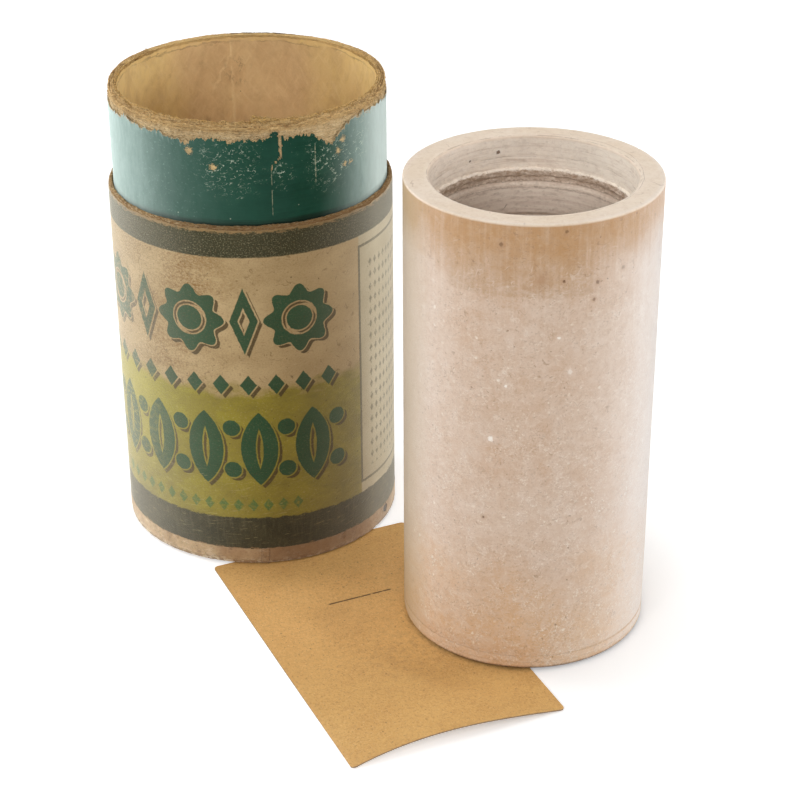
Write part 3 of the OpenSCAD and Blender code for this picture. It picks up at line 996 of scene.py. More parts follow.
def liningSheet(s):
    whole = math.tau * s["radius"]
    bm = flatSheet(whole + s["lap"], s["foot"], s["top"], s["columns"], s["rows"])
    for vert in bm.verts:
        share = (vert.co.y - s["foot"]) / (s["top"] - s["foot"])
        fray = 0.2 * rough(vert.co.x / 7, 2.2) + 0.3 * rough(vert.co.x / 1.8, 7.9)
        vert.co.y += fray * ease((share - 0.86) / 0.14)
    printUv(bm)

    def radiusAt(along, up):
        over = ease((along - whole / 2 + s["lap"]) / 4)
        wave = 0.06 * rough(along / 12, up / 14, 4.0)
        return s["radius"] + 0.02 - 0.1 * over + wave

    roll(bm, cartonAxis, s["radius"], radiusAt, s["seam"])
    piece = newPiece("liningPaper", bm, "carton", ["inner_lining"], [liningMaterial()])
    thicken(piece, s["thick"], 0, 0)


liningSheet(liningPaper)


# Glazed paper of the neck

neckPaper = {
    "radius": 32.32, "foot": 87.5, "rim": 112.63, "thick": 0.16, "lap": 5.0, "seam": 7.87,
    "tear": 3.5, "ripFoot": 101.5, "ripAt": 12.6, "ripLean": 3.7, "columns": 880, "rows": 40,
    "dips": [
        {"at": 38, "deep": 3.4, "wide": 5}, {"at": 14, "deep": -2.0, "wide": 3.2},
        {"at": 58, "deep": -1.2, "wide": 9}, {"at": -55, "deep": -0.8, "wide": 6},
        {"at": -24, "deep": 0.8, "wide": 4}, {"at": 170, "deep": 2.0, "wide": 12},
        {"at": -120, "deep": 1.6, "wide": 9}, {"at": 105, "deep": 2.2, "wide": 6},
    ],
}


def tornDepth(bearing):
    # how far below the rim the paper is torn away
    depth = neckPaper["tear"]
    for dip in neckPaper["dips"]:
        depth += dip["deep"] * bump(bearing, dip["at"], dip["wide"])
    x, y = onRing(bearing, 1)
    depth += 0.7 * rough(x * 9, y * 9, 2.0) + 0.6 * rough(x * 34, y * 34, 6.0)
    return depth + 0.6 * rough(x * 110, y * 110, 1.0)


def slitAt(up):
    # bearing and width of the rip that runs from the torn edge down to the seam
    s = neckPaper
    above = up - s["ripFoot"]
    lean = s["ripLean"] * ease((above - 0.8) / 2.6)
    sway = 0.35 * rough(up / 1.1, 4.0)
    wide = 0.45 + 0.4 * ease((above - 2.5) / 6) + 0.3 * rough(up * 1.6, 9.0)
    return s["ripAt"] + lean + sway, wide


def glazePatterns():
    # places and patterns that several parts of the finish share
    glaze = SimpleNamespace(flat=flatOf())
    flat = glaze.flat
    glaze.x, glaze.z, _ = parts(flat)
    glaze.side, _, _ = parts(placeOf(cartonAxis))
    glaze.shade = grain(flat, (9, 9, 1), 0.35, 0.65, 4, 0.6)
    glaze.lines = grain(flat, (11, 0.5, 1), 0.4, 0.7, 4, 0.6)
    glaze.flaky = times(grain(flat, (0.8, 0.6, 1), 0.58, 0.68, 4, 0.7), ramp(glaze.side, -5, -20))
    return glaze


def glazeScuffs(glaze, tone):
    # crooked scratches gather in a few rubbed places, with stray specks about them
    flat = glaze.flat
    wob = between(grain(flat, 2.2, 0.2, 0.8, 4, 0.7), -4, 4)
    rubbed = most(*[spot(flat, rub["x"], rub["z"], rub["size"], wob, 0.1) for rub in neckRubs])
    short = times(hairs(flat, (1.6, 1.2, 1), 0.03, 25), grain(flat, (1.2, 0.9, 1), 0.53, 0.57))
    long = times(hairs(flat, (3.4, 1.3, 1), 0.016, 18), grain(flat, (2.4, 1.6, 1), 0.52, 0.56))
    crumbs = grain(flat, (0.5, 0.4, 1), 0.67, 0.72, 3, 0.7)
    scuff = times(most(short, long, crumbs), ramp(rubbed, 0.2, 0.9))
    scuff = most(scuff, times(crumbs, ramp(glaze.z, 103, 108.5), 0.7))
    glaze.scuff = most(scuff, times(specks(flat, (2.6, 2.6, 1), 0.09, 0.3), 0.6))
    glaze.dull = times(rubbed, grain(flat, 1.2, 0.42, 0.66, 4, 0.75))
    tone = coat(tone, glaze.flaky, (140, 172, 158), 0.65)
    tone = coat(tone, glaze.scuff, (204, 216, 194), 0.85)
    return coat(tone, glaze.dull, (78, 106, 82), 0.25)


def glazeTears(glaze, tone):
    # one long scratch, a thin joint, the torn lip and places worn through to the board
    flat, x, z = glaze.flat, glaze.x, glaze.z
    scratch = times(band(x, 17.38, 17.52, 0.12), band(z, 97.5, 106, 0.5))
    scratch = times(scratch, grain(flat, 0.7, 0.4, 0.52, 3, 0.6))
    joint = times(band(x, 6.98, 7.08, 0.1), band(z, 91, 102.5, 0.4))
    joint = times(joint, grain(flat, (0.6, 0.9, 1), 0.44, 0.56, 3, 0.6))
    tone = coat(tone, most(joint, scratch), (204, 200, 168), 0.8)
    torn = node("Attribute")
    torn.attribute_name = "torn"
    lipWide = between(grain(flat, 1.0, 0.42, 0.7, 4, 0.75), 0.0, 0.75)
    glaze.fray = calc("LESS_THAN", torn.outputs["Fac"], lipWide)
    tone = coat(tone, glaze.fray, (190, 160, 116), 0.9)
    rag = between(grain(flat, (0.7, 0.5, 1), 0.25, 0.75, 5, 0.8), -1.1, 1.1)
    glaze.worn = most(*[spot(flat, chip["x"], chip["z"], chip["size"], rag, 0.6) for chip in neckChips])
    board = mix(glaze.shade, colour(214, 186, 132), colour(192, 160, 112))
    return mix(glaze.worn, tone, board)


def glazeMaterial():
    material, shader = newMaterial("glazedPaper", 0.4, 0.0, 1.0, 0.8, (0.82, 1, 0.95, 1))
    shader.inputs["Coat IOR"].default_value = 1.14
    shader.inputs["Coat Roughness"].default_value = 0.2
    glaze = glazePatterns()
    x, side = glaze.x, glaze.side
    tone = mix(glaze.shade, colour(20, 58, 44), colour(29, 70, 55))
    tone = coat(tone, glaze.lines, (36, 84, 66), 0.2)
    # painted light: lighter green on the left side
    tone = coat(tone, ramp(side, 9, -8), (46, 92, 76), 0.5)
    tone = glazeTears(glaze, glazeScuffs(glaze, tone))
    # painted sheen: greyed towards the right; painted shade along the shoulder
    tone = coat(tone, times(ramp(x, 31, 39), ramp(x, 56, 46)), (192, 204, 200), 0.75)
    # painted shade where the neck meets the shoulder
    soilAndShade = ramp(swayed(glaze.z, glaze.lines, 0.4), 90.2, 88.9)
    put(coat(tone, soilAndShade, (24, 30, 22), 0.75), shader.inputs["Base Color"])
    matt = most(times(glaze.scuff, 0.7), glaze.worn, glaze.fray)
    put(between(matt, 0.4, 0.8), shader.inputs["Roughness"])
    put(ramp(most(matt, glaze.dull), 0, 0.8, 0.9, 0.1), shader.inputs["Coat Weight"])
    # sheen cut back on the side towards the record as painted shade, and broken up by smears and flakes
    paintedLight = most(ramp(side, -2, 10.5, 1, 0.08), ramp(side, 17, 27, 0.06, 1))
    smears = grain(glaze.flat, (1.6, 5, 1), 0.34, 0.66, 5, 0.75)
    paintedLight = times(paintedLight, between(smears, 0.8, 1), between(glaze.flaky, 1, 0.75))
    edgeDust(shader, times(between(matt, 1, 0.6), paintedLight), 0.06, 0.42)
    relief(
        shader, (glaze.lines, 0.006), (glaze.shade, 0.05), (glaze.scuff, -0.03), (glaze.worn, -0.06),
        (glaze.flaky, -0.02),
    )
    return material


neckRubs = [
    {"x": -2.5, "z": 103, "size": 10.5}, {"x": 21.5, "z": 102, "size": 10},
    {"x": 31, "z": 104, "size": 6}, {"x": 9, "z": 100.5, "size": 4},
    {"x": -70, "z": 101, "size": 16}, {"x": 66, "z": 103, "size": 14},
]
neckChips = [
    {"x": -11.4, "z": 106.1, "size": 0.95}, {"x": -12.1, "z": 108.0, "size": 0.7},
    {"x": -5.8, "z": 102.7, "size": 0.85}, {"x": 23.7, "z": 103.4, "size": 0.75},
    {"x": 25.1, "z": 105.8, "size": 0.8}, {"x": 25.7, "z": 99.8, "size": 0.6},
    {"x": 27.5, "z": 99.7, "size": 0.5}, {"x": -62, "z": 103, "size": 1.1},
    {"x": 74, "z": 100, "size": 0.9}, {"x": -92, "z": 97, "size": 0.8},
]


tornEdge = fuzzMaterial("tornEdge", 0.9, cartonAxis, colour(206, 186, 146), colour(160, 134, 96), 0.08)


def neckSheet(s):
    whole = math.tau * s["radius"]
    middle = s["seam"] + 180
    bm = flatSheet(whole + s["lap"], 0, 1, s["columns"], s["rows"])
    torn = bm.verts.layers.float.new("torn")
    for vert in bm.verts:
        edge = s["rim"] - tornDepth(sheetBearing(vert.co.x, middle, s["radius"]))
        share = 1 - (1 - vert.co.y) ** 1.5
        vert.co.y = s["foot"] + (edge - s["foot"]) * share
        vert[torn] = edge - vert.co.y
    printUv(bm, middle, s["radius"])
    # faces inside the rip
    gone = []
    for face in bm.faces:
        centre = face.calc_center_median()
        at, wide = slitAt(centre.y)
        aside = math.radians(sheetBearing(centre.x, middle, s["radius"]) - at) * s["radius"]
        if centre.y > s["ripFoot"] and abs(aside) < wide / 2:
            gone.append(face)
    bmesh.ops.delete(bm, geom=gone, context="FACES")

    def radiusAt(along, up):
        over = ease((along - whole / 2 + s["lap"]) / 4)
        edge = s["rim"] - tornDepth(sheetBearing(along, middle, s["radius"]))
        near = ease(1 - (edge - up) / 1.6)
        curl = near * (0.04 + 0.14 * rough(along / 3, 3.3))
        ripple = 0.03 * rough(along / 5, up / 8, 6.1)
        return s["radius"] + 0.1 * over + curl + ripple

    roll(bm, cartonAxis, s["radius"], radiusAt, s["seam"])
    materials = [glazeMaterial(), tornEdge]
    piece = newPiece("neckPaper", bm, "carton", ["neck_paper"], materials)
    thicken(piece, s["thick"], 1)


neckSheet(neckPaper)
print("neck papers made")


# Printed label

labelPaper = {
    "radius": 33.63, "foot": 4.6, "top": 88.1, "thick": 0.18, "lap": 7.0, "seam": 140,
    "wornFrom": 86.5, "lipFrom": 87.3, "topBand": 81.35, "field": 49.8, "footBand": 13.5,
    "columns": 520, "rows": 90,
}
sidePanel = {
    "left": 29.2, "right": 72.0, "x": 50.6, "z": 47.6, "wide": 42.4, "tall": 62.4,
    "margin": 3.0, "rowGap": 3.2,
}
# rows of ornament on the flat label, in mm: x from the front, z from the table
rosettes = {
    "start": 12.5, "period": 26, "z": 65.6, "petals": 8, "petal": 1.0, "radius": 7.5,
    "eye": 3.7, "eyeLine": 0.6, "lozengeWide": 3.3, "lozengeTall": 8.4, "heart": 0.42,
    "low": -56.3, "high": 21.6,
}
leaves = {
    "start": 15.0, "period": 13, "z": 32.2, "shift": 8.6, "radius": 13.0, "ribShift": 16.0,
    "ribRadius": 16.9, "buttonUp": 5.6, "button": 2.1, "low": -56.5, "high": 21.5,
    "buttonLow": -59.5, "buttonHigh": 24.6,
}
beads = {"period": 6.5, "z": 49.2, "wide": 2.0, "tall": 2.6, "low": -54.5, "high": 22.0}
smallBeads = {"period": 3.6, "z": 16.9, "wide": 1.25, "tall": 1.7, "low": -41.4, "high": 12.6}
diaperBeads = {"period": 2.1, "z": 0.0, "wide": 0.7, "tall": 1.1}


def within(row, x, low, high):
    # keeps a row of ornament to whole motifs between two edges
    return most(row, minus(x, high), minus(low, x))


def repeated(x, start, period):
    # x from the middle of the nearest motif
    return calc("WRAP", minus(x, start), period / 2, -period / 2)


def lozengeOf(across, up, wide, tall):
    # 0 in the middle of a lozenge, 1 on its outline
    return plus(calc("DIVIDE", absolute(across), wide), calc("DIVIDE", absolute(up), tall))


def rosetteRow(x, z, s):
    # petalled rounds with slim lozenges between them, as a distance from their outline in mm
    across = repeated(x, s["start"], s["period"])
    up = minus(z, s["z"])
    away = ringOf(across, up)
    turn = calc("ARCTAN2", up, across)
    petals = calc("MULTIPLY_ADD", calc("COSINE", times(turn, s["petals"])), s["petal"], s["radius"])
    eyeLine = minus(s["eyeLine"], absolute(minus(away, s["eye"])))
    flower = most(minus(away, petals), eyeLine)
    aside = repeated(x, s["start"] + s["period"] / 2, s["period"])
    slant = lozengeOf(aside, up, s["lozengeWide"], s["lozengeTall"])
    lozenge = times(most(minus(slant, 1), minus(s["heart"], slant)), 2.8)
    return within(least(flower, lozenge), x, s["low"], s["high"])


def leafRow(x, z, s):
    # upright pointed leaves with a pale rib, and a pair of buttons between two leaves
    across = absolute(repeated(x, s["start"], s["period"]))
    up = minus(z, s["z"])
    leaf = minus(ringOf(plus(across, s["shift"]), up), s["radius"])
    rib = minus(s["ribRadius"], ringOf(plus(across, s["ribShift"]), up))
    leaf = within(most(leaf, rib), x, s["low"], s["high"])
    aside = repeated(x, s["start"] + s["period"] / 2, s["period"])
    button = minus(ringOf(aside, minus(absolute(up), s["buttonUp"])), s["button"])
    return least(leaf, within(button, x, s["buttonLow"], s["buttonHigh"]))


def beadRow(x, z, s):
    slant = lozengeOf(repeated(x, 0, s["period"]), minus(z, s["z"]), s["wide"], s["tall"])
    return times(minus(slant, 1), s["wide"] * 0.8)


def motifs(x, z):
    row = within(beadRow(x, z, beads), x, beads["low"], beads["high"])
    return least(rosetteRow(x, z, rosettes), leafRow(x, z, leaves), row)


def labelPatterns():
    # places and patterns that several parts of the print share
    label = SimpleNamespace(flat=flatOf())
    flat = label.flat
    label.x, label.z, _ = parts(flat)
    label.bleed = between(grain(flat, 0.9, 0.2, 0.8, 3, 0.65), -0.12, 0.12)
    label.inkX = plus(label.x, label.bleed)
    label.inkZ = plus(label.z, label.bleed)
    label.cloud = grain(flat, (16, 12, 1), 0.34, 0.66, 5, 0.6)
    label.sand = grain(flat, (0.5, 0.42, 1), 0.38, 0.66, 4, 0.75)
    label.grit = grain(flat, (0.42, 0.36, 1), 0.54, 0.66, 2, 0.65)
    label.patches = grain(flat, (9, 6, 1), 0.4, 0.62, 5, 0.65)
    label.stipple = grain(flat, (0.34, 0.34, 1), 0.55, 0.65, 2, 0.6)
    label.curls = times(hairs(flat, (3.4, 2.6, 1), 0.03), grain(flat, (2.2, 1.8, 1), 0.54, 0.6))
    under = times(ramp(label.z, 70, 80), ramp(label.x, 20, -6), 0.2)
    label.leftward = most(times(ramp(label.x, 2, -26), ramp(label.x, -98, -70)), under)
    return label


def creamPaper(label):
    # cream paper with sandy foxing, thicker on the left and under the top band
    flat = label.flat
    paper = mix(label.cloud, colour(208, 182, 138), colour(188, 162, 118))
    fox = times(label.sand, between(label.leftward, 0.24, 1), between(label.patches, 0.35, 1))
    paper = coat(paper, fox, (136, 100, 60))
    rust = most(spot(flat, -15, 75, 15, None, 0.2), spot(flat, -22, 58, 15, None, 0.1))
    rust = times(rust, grain(flat, (0.8, 0.6, 1), 0.46, 0.57, 4, 0.75), between(label.patches, 0.45, 1))
    paper = coat(paper, rust, (142, 102, 50), 0.85)
    return coat(paper, label.curls, (134, 106, 68), 0.5)


def yellowField(label, paper):
    # lower field in yellow green, its upper edge uneven
    flat, x, top = label.flat, label.x, labelPaper["field"]
    edge = swayed(label.inkZ, grain(flat, (11, 5, 1), 0.3, 0.7, 5, 0.6), 2.6)
    field = times(ramp(edge, top, top - 3.6), most(ramp(x, 29.4, 29.0), ramp(x, 71.8, 72.2)))
    yellow = mix(label.cloud, colour(150, 137, 54), colour(132, 119, 52))
    yellow = coat(yellow, label.patches, (176, 164, 52), 0.5)
    yellow = coat(yellow, grain(flat, (7, 4, 1), 0.5, 0.68, 5, 0.7), (104, 96, 40), 0.35)
    yellow = coat(yellow, spot(flat, -34, 42, 26, None, 0.2), (186, 176, 62), 0.6)
    return mix(times(field, 0.95), paper, yellow)


def panelPrint(label, paper, s):
    # side panel, with its thin frame and rows of small lozenges
    x, z = label.x, label.z
    panel = times(ramp(x, s["left"], s["left"] + 0.2), ramp(x, s["right"], s["right"] - 0.2))
    paper = mix(panel, paper, mix(label.cloud, colour(206, 194, 164), colour(186, 172, 140)))
    sideX = minus(absolute(minus(x, s["x"])), s["wide"] / 2)
    sideZ = minus(absolute(minus(z, s["z"])), s["tall"] / 2)
    edge = most(sideX, sideZ)
    line = ramp(plus(absolute(edge), label.bleed), 0.42, 0.26)
    diaper = ramp(beadRow(x, repeated(z, 0, s["rowGap"]), diaperBeads), 0.1, -0.15)
    framed = calc("LESS_THAN", edge, -s["margin"])
    diaper = times(diaper, framed, grain(label.flat, 0.8, 0.3, 0.5, 2, 0.6))
    return coat(paper, most(times(line, 0.85), times(diaper, 0.8)), (84, 76, 48))


def ornament(label, paper):
    # green with a pale gap and a dark shade to the right and below
    x, inkX, inkZ = label.x, label.inkX, label.inkZ
    away = motifs(inkX, inkZ)
    cast = motifs(minus(inkX, 0.95), plus(inkZ, 0.85))
    shadeInk = times(ramp(cast, 0.12, -0.08), ramp(away, 0.26, 0.42))
    inkWear = grain(label.flat, (1.3, 1.0, 1), 0.3, 0.5, 4, 0.7)
    leftWear = most(inkWear, ramp(x, -44, -20))
    paper = coat(paper, times(shadeInk, leftWear), (82, 68, 44), 0.9)
    label.green = times(ramp(away, 0.08, -0.08), leftWear)
    greenTone = mix(label.cloud, colour(30, 72, 50), colour(42, 86, 62))
    greenTone = coat(greenTone, label.sand, (78, 108, 74), 0.25)
    paper = mix(times(label.green, 0.95), paper, greenTone)
    small = ramp(beadRow(inkX, inkZ, smallBeads), 0.1, -0.1)
    small = times(small, band(x, smallBeads["low"], smallBeads["high"], 0.05), inkWear)
    return coat(paper, small, (76, 116, 66), 0.8)


def oliveBands(label, paper):
    # at the top and the foot, where the paper has gone in places
    flat, top, foot = label.flat, labelPaper["topBand"], labelPaper["footBand"]
    olive = mix(label.cloud, colour(78, 76, 54), colour(66, 65, 45))
    olive = coat(olive, label.stipple, (160, 152, 118), 0.6)
    olive = coat(olive, label.sand, (52, 50, 36), 0.35)
    paper = mix(ramp(label.inkZ, top, top + 0.25), paper, olive)
    dark = mix(label.cloud, colour(64, 61, 44), colour(52, 51, 36))
    dark = coat(dark, label.stipple, (132, 122, 92), 0.16)
    dark = coat(dark, label.patches, (96, 90, 64), 0.4)
    dark = coat(dark, grain(flat, (1.1, 7, 1), 0.5, 0.72, 5, 0.7), (112, 106, 80), 0.45)
    ragged = swayed(label.z, grain(flat, (2.2, 0.9, 1), 0.3, 0.7, 5, 0.75), 0.5)
    paper = mix(ramp(ragged, foot, foot - 0.3), paper, dark)
    lost = times(ramp(ragged, 4.95, 4.75), grain(flat, (3, 1.5, 1), 0.44, 0.54, 4, 0.7))
    return coat(paper, lost, (170, 136, 100), 0.8)


def labelWear(label, paper):
    # grit and dirt all over, rubbed streaks low down, the top edge worn to the board
    flat, x, z = label.flat, label.x, label.z
    paper = coat(paper, times(label.grit, between(label.leftward, 0.22, 0.42)), (112, 86, 54))
    light = grain(flat, (0.6, 0.5, 1), 0.56, 0.68, 3, 0.7)
    light = times(light, between(label.patches, 0.06, 0.26), ramp(z, 12, 15, 0.3, 1))
    paper = coat(paper, times(light, between(label.green, 1, 0.45)), (226, 210, 170))
    rub = grain(flat, (3.6, 0.5, 1), 0.6, 0.7, 4, 0.6, turn=8, warp=0.6)
    paper = coat(paper, times(rub, band(z, 6, 26, 2)), (204, 188, 136), 0.35)
    dirt = specks(shaken(flat, 1, 0.8), (1.7, 1.7, 1), 0.16, 0.4)
    paper = coat(paper, dirt, (80, 62, 42), 0.6)
    topEdge = swayed(z, grain(flat, (1.6, 0.5, 1), 0.3, 0.7, 4, 0.75), 0.7)
    paper = coat(paper, ramp(topEdge, 87.4, 87.7), (164, 134, 92), 0.85)
    # painted shade on the right, where the record keeps light off, and towards the foot
    recordShade = times(ramp(x, -14, 16, kind="SMOOTHSTEP"), ramp(x, 36, 27, 0.4, 1), ramp(x, 90, 60))
    recordShade = times(recordShade, ramp(z, 92, 6, 0.6, 1), 0.7)
    return mix(recordShade, paper, mix(1.0, paper, colour(160, 150, 132), "MULTIPLY"))


def labelMaterial():
    material, shader = newMaterial("labelPaper", 0.42, 0.08, 1.0, 0.8, (1, 0.95, 0.8, 1))
    label = labelPatterns()
    paper = yellowField(label, creamPaper(label))
    paper = panelPrint(label, paper, sidePanel)
    paper = oliveBands(label, ornament(label, paper))
    put(labelWear(label, paper), shader.inputs["Base Color"])
    put(between(label.sand, 0.36, 0.5), shader.inputs["Roughness"])
    veil = most(ramp(label.x, -30, -16, 0.38, 0.7), ramp(label.x, -40, -49, 0.3, 0.75))
    edgeDust(shader, times(veil, ramp(label.x, 10, 24, 1, 0.7)))
    relief(
        shader, (label.sand, 0.025), (label.stipple, 0.01), (label.grit, -0.02),
        (label.patches, 0.02), (label.curls, -0.05),
    )
    return material


def labelSheet(s):
    whole = math.tau * s["radius"]
    bm = flatSheet(whole + s["lap"], s["foot"], s["top"], s["columns"], s["rows"])
    for vert in bm.verts:
        worn = 0.28 * rough(vert.co.x / 6, 1.2) + 0.16 * rough(vert.co.x / 0.9, 4.4)
        vert.co.y += worn * ease((vert.co.y - s["wornFrom"]) / 1.75)
    printUv(bm, s["seam"] + 180, s["radius"])

    def radiusAt(along, up):
        over = ease((along - whole / 2 + s["lap"]) / 0.5)
        ripple = 0.03 * rough(along / 12, up / 9, 2.6)
        lipIn = 0.12 * ease((up - s["lipFrom"]) / 1.1)
        return s["radius"] + 0.16 * over + ripple - lipIn

    roll(bm, cartonAxis, s["radius"], radiusAt, s["seam"])
    piece = newPiece("labelPaper", bm, "carton", ["label_wrap"], [labelMaterial(), tornEdge])
    thicken(piece, s["thick"], 1)


labelSheet(labelPaper)
print("label made")


# Edging strip of the foot

footStrip = {
    "radius": 33.66, "low": 0.57, "top": 4.75, "turn": 28.93, "thick": 0.2, "fold": 0.35,
    "lapStart": 2.3, "lapEnd": 5.9, "knockTop": 1.4, "steps": 720, "step": 0.6,
}


def stripMaterial():
    material, shader = newMaterial("edgingPaper", 0.55, 0.4, 1.0, 0.8, (1, 0.95, 0.85, 1))
    place = placeOf(cartonAxis)
    x, y, z = parts(place)
    cloud = grain(place, 6, 0.35, 0.65, 4, 0.6)
    tone = mix(cloud, colour(210, 180, 138), colour(184, 150, 110))
    smear = grain(place, (2.2, 2.2, 3.0), 0.46, 0.7, 5, 0.7)
    tone = coat(tone, smear, (146, 112, 80), 0.4)
    chalk = grain(place, (2.8, 2.8, 1.2), 0.54, 0.68, 5, 0.75)
    tone = coat(tone, chalk, (236, 216, 182), 0.7)
    worn = grain(place, (0.7, 0.7, 0.5), 0.52, 0.66, 4, 0.75)
    tone = coat(tone, worn, (128, 98, 68), 0.45)
    split = times(cracks(shaken(place, 2, 2), (4, 4, 2.4), 0.035), smear)
    tone = coat(tone, split, (92, 66, 46), 0.7)
    dirt = specks(shaken(place, 1, 0.8), 1.5, 0.17, 0.35)
    tone = coat(tone, dirt, (82, 58, 40), 0.6)
    # soiled along both edges, and painted shade at the front, on the side towards the record
    rubbed = swayed(z, chalk, 0.4)
    tone = coat(tone, ramp(rubbed, 1.3, 0.6, 0, 0.65), (120, 90, 62))
    tone = coat(tone, ramp(rubbed, 4.3, 4.8, 0, 0.5), (116, 92, 66))
    frontShade = times(ramp(x, -14, 8), ramp(y, 4, -12), ramp(x, 32, 24, 0.4, 1))
    tone = coat(tone, frontShade, (108, 78, 52), 0.8)
    # two laps at the front, and pale chips along the lower edge on the left
    wander = swayed(x, smear, 0.2)
    laps = most(band(wander, 1.3, 1.45, 0.1), band(wander, 3.2, 3.4, 0.1))
    laps = times(laps, ramp(y, -20, -30), between(worn, 0.6, 1))
    tone = coat(tone, laps, (82, 58, 40), 0.7)
    chips = times(grain(place, (1.6, 1.6, 0.9), 0.5, 0.58, 4, 0.7), ramp(z, 2.2, 0.9))
    tone = coat(tone, times(chips, ramp(x, 4, -10, 0.2, 0.8)), (238, 222, 194))
    # the hole knocked through it on the right, its dark inside painted shade
    hole = spot(place, 31.2, -12.6, 1.0, between(smear, -0.3, 0.3), 0.7, 3.4)
    tone = coat(tone, hole, (36, 34, 22), 0.9)
    put(tone, shader.inputs["Base Color"])
    edgeDust(shader, 0.3)
    relief(
        shader, (smear, 0.04), (chalk, 0.05), (split, -0.1), (hole, -0.5), (laps, -0.1),
        (grain(place, 0.5, 0.3, 0.7, 3, 0.7), 0.03),
    )
    return material


def stripMoved(bearing, radius, height):
    s = footStrip
    x, y = onRing(bearing, 1)
    if radius > s["radius"] - 0.6:
        lap = ease((bearing - s["lapStart"]) / 0.35) * ease((s["lapEnd"] - bearing) / 0.35)
        radius += 0.13 * lap
        radius += 0.05 * rough(x * 22, y * 22, height / 3)
        if height > s["top"] - 1.2:
            height += 0.14 * rough(x * 16, y * 16, 2.0) + 0.08 * rough(x * 80, y * 80, 3.0)
        if height < s["knockTop"]:
            # knocks along the foot
            knock = max(0, rough(x * 13, y * 13, 7.0) - 0.25)
            radius -= 0.5 * knock * ease((s["knockTop"] - height) / 0.8)
    return bearing, radius, height


def stripProfile(s):
    inner = s["radius"] - s["thick"]
    fold = arc(s["radius"] - s["fold"], s["low"] + s["fold"], s["fold"], -90, 0, 4)
    side = [(s["radius"], s["top"]), (inner, s["top"]), (inner, s["low"] + s["thick"])]
    return [(s["turn"], s["low"])] + fold + side + [(s["turn"], s["low"] + s["thick"])]


def stripStep(radius, height):
    return footStrip["step"]


bm = lathe(stripProfile(footStrip), cartonAxis, footStrip["steps"], stripStep)
reshape(bm, cartonAxis, stripMoved)
edgingPaper = stripMaterial()
newPiece("footStrip", bm, "carton", ["foot_strip"], [edgingPaper])
for nodeName, material in (("base_disc", boardTan), ("base_paper", edgingPaper)):
    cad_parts[nodeName].data.materials.clear()
    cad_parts[nodeName].data.materials.append(material)
print("foot made")


# Title slip

titleSlip = {
    "wide": 50.5, "long": 86.0, "thick": 0.3, "corner": 1.1, "turn": 24, "columns": 100, "rows": 170,
    "archHigh": 3.1, "archLean": 0.8, "archLong": 42.0, "archClear": 5.0,
}
slipLow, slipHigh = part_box("title_slip")
slipTurn = math.radians(titleSlip["turn"])
slipAlong = Vector((math.sin(slipTurn), -math.cos(slipTurn), 0))
slipAcross = Vector((math.cos(slipTurn), math.sin(slipTurn), 0))
# the back left corner is the slip's leftmost point
slipCorner = Vector((slipLow.x, slipHigh.y - titleSlip["wide"] * math.sin(slipTurn) * mm, 0))


def slipLift(u, v):
    s = titleSlip
    reach = recordAxis - slipCorner
    away = math.hypot(u - reach.dot(slipAcross) / mm, v - reach.dot(slipAlong) / mm)
    clear = away - waxRecord["radius"] - s["archClear"]
    arch = s["archHigh"] * math.sin(math.pi * max(u / s["wide"], 0) ** s["archLean"])
    fromV = s["long"] - s["archLong"]
    return arch * ease((v - fromV) / s["archLong"]) * ease(clear / (2 * s["archClear"]))


def cardMaterial():
    material, shader = newMaterial("manilaCard", 0.62, 0.35)
    flat = flatOf()
    u, v, _ = parts(flat)
    cloud = grain(flat, (13, 13, 1), 0.32, 0.68, 5, 0.6)
    tone = mix(cloud, colour(206, 160, 94), colour(195, 147, 82))
    fibre = grain(flat, (0.35, 0.9, 1), 0.3, 0.7, 4, 0.7)
    tone = coat(tone, fibre, (238, 204, 142), 0.3)
    mottle = grain(flat, (1.3, 1.1, 1), 0.48, 0.66, 5, 0.75, warp=0.6)
    tone = coat(tone, mottle, (166, 122, 70), 0.36)
    soilAndShade = times(spot(flat, 29, 52, 24, None, 0.1), grain(flat, (2, 2, 1), 0.45, 0.65, 4, 0.7))
    soilAndShade = most(soilAndShade, times(spot(flat, 20, 33, 11, None, 0.1), cloud))
    tone = coat(tone, soilAndShade, (140, 104, 66), 0.3)
    pepper = times(grain(flat, (0.5, 0.8, 1), 0.56, 0.66, 3, 0.75), between(cloud, 0.35, 0.6))
    tone = coat(tone, pepper, (132, 94, 52))
    fleck = specks(shaken(flat, 0.8, 0.8), (1.4, 1.4, 1), 0.22, 0.35)
    tone = coat(tone, fleck, (108, 76, 44), 0.55)
    light = grain(flat, (0.5, 0.45, 1), 0.58, 0.7, 3, 0.7)
    tone = coat(tone, light, (244, 218, 168), 0.4)
    # painted light: lighter towards the back, away from the carton's foot
    paintedLight = mix(1.0, tone, (1.24, 1.23, 1.3, 1), "MULTIPLY")
    x, y, _ = parts(placeOf(cartonAxis))
    paintedLightArea = times(ramp(v, 64, 34), ramp(ringOf(x, y), 37, 47))
    tone = mix(paintedLightArea, tone, paintedLight)
    # painted contact shadow in a ring where the record stands
    x, y, _ = parts(placeOf(recordAxis))
    ring = band(swayed(ringOf(x, y), cloud, 0.4), 26.4, 28.0, 0.5)
    ring = times(ring, grain(flat, (3, 3, 1), 0.4, 0.6, 4, 0.7), 0.3)
    tone = coat(tone, ring, (112, 76, 42))
    # one short printed rule
    rule = times(band(v, 26.5, 27.0, 0.08), band(u, 19.1, 35.1, 0.3))
    rule = times(rule, grain(flat, 1.4, 0.3, 0.42, 2, 0.5))
    tone = coat(tone, rule, (54, 38, 26), 0.85)
    put(tone, shader.inputs["Base Color"])
    relief(shader, (fibre, 0.025), (mottle, -0.02))
    return material


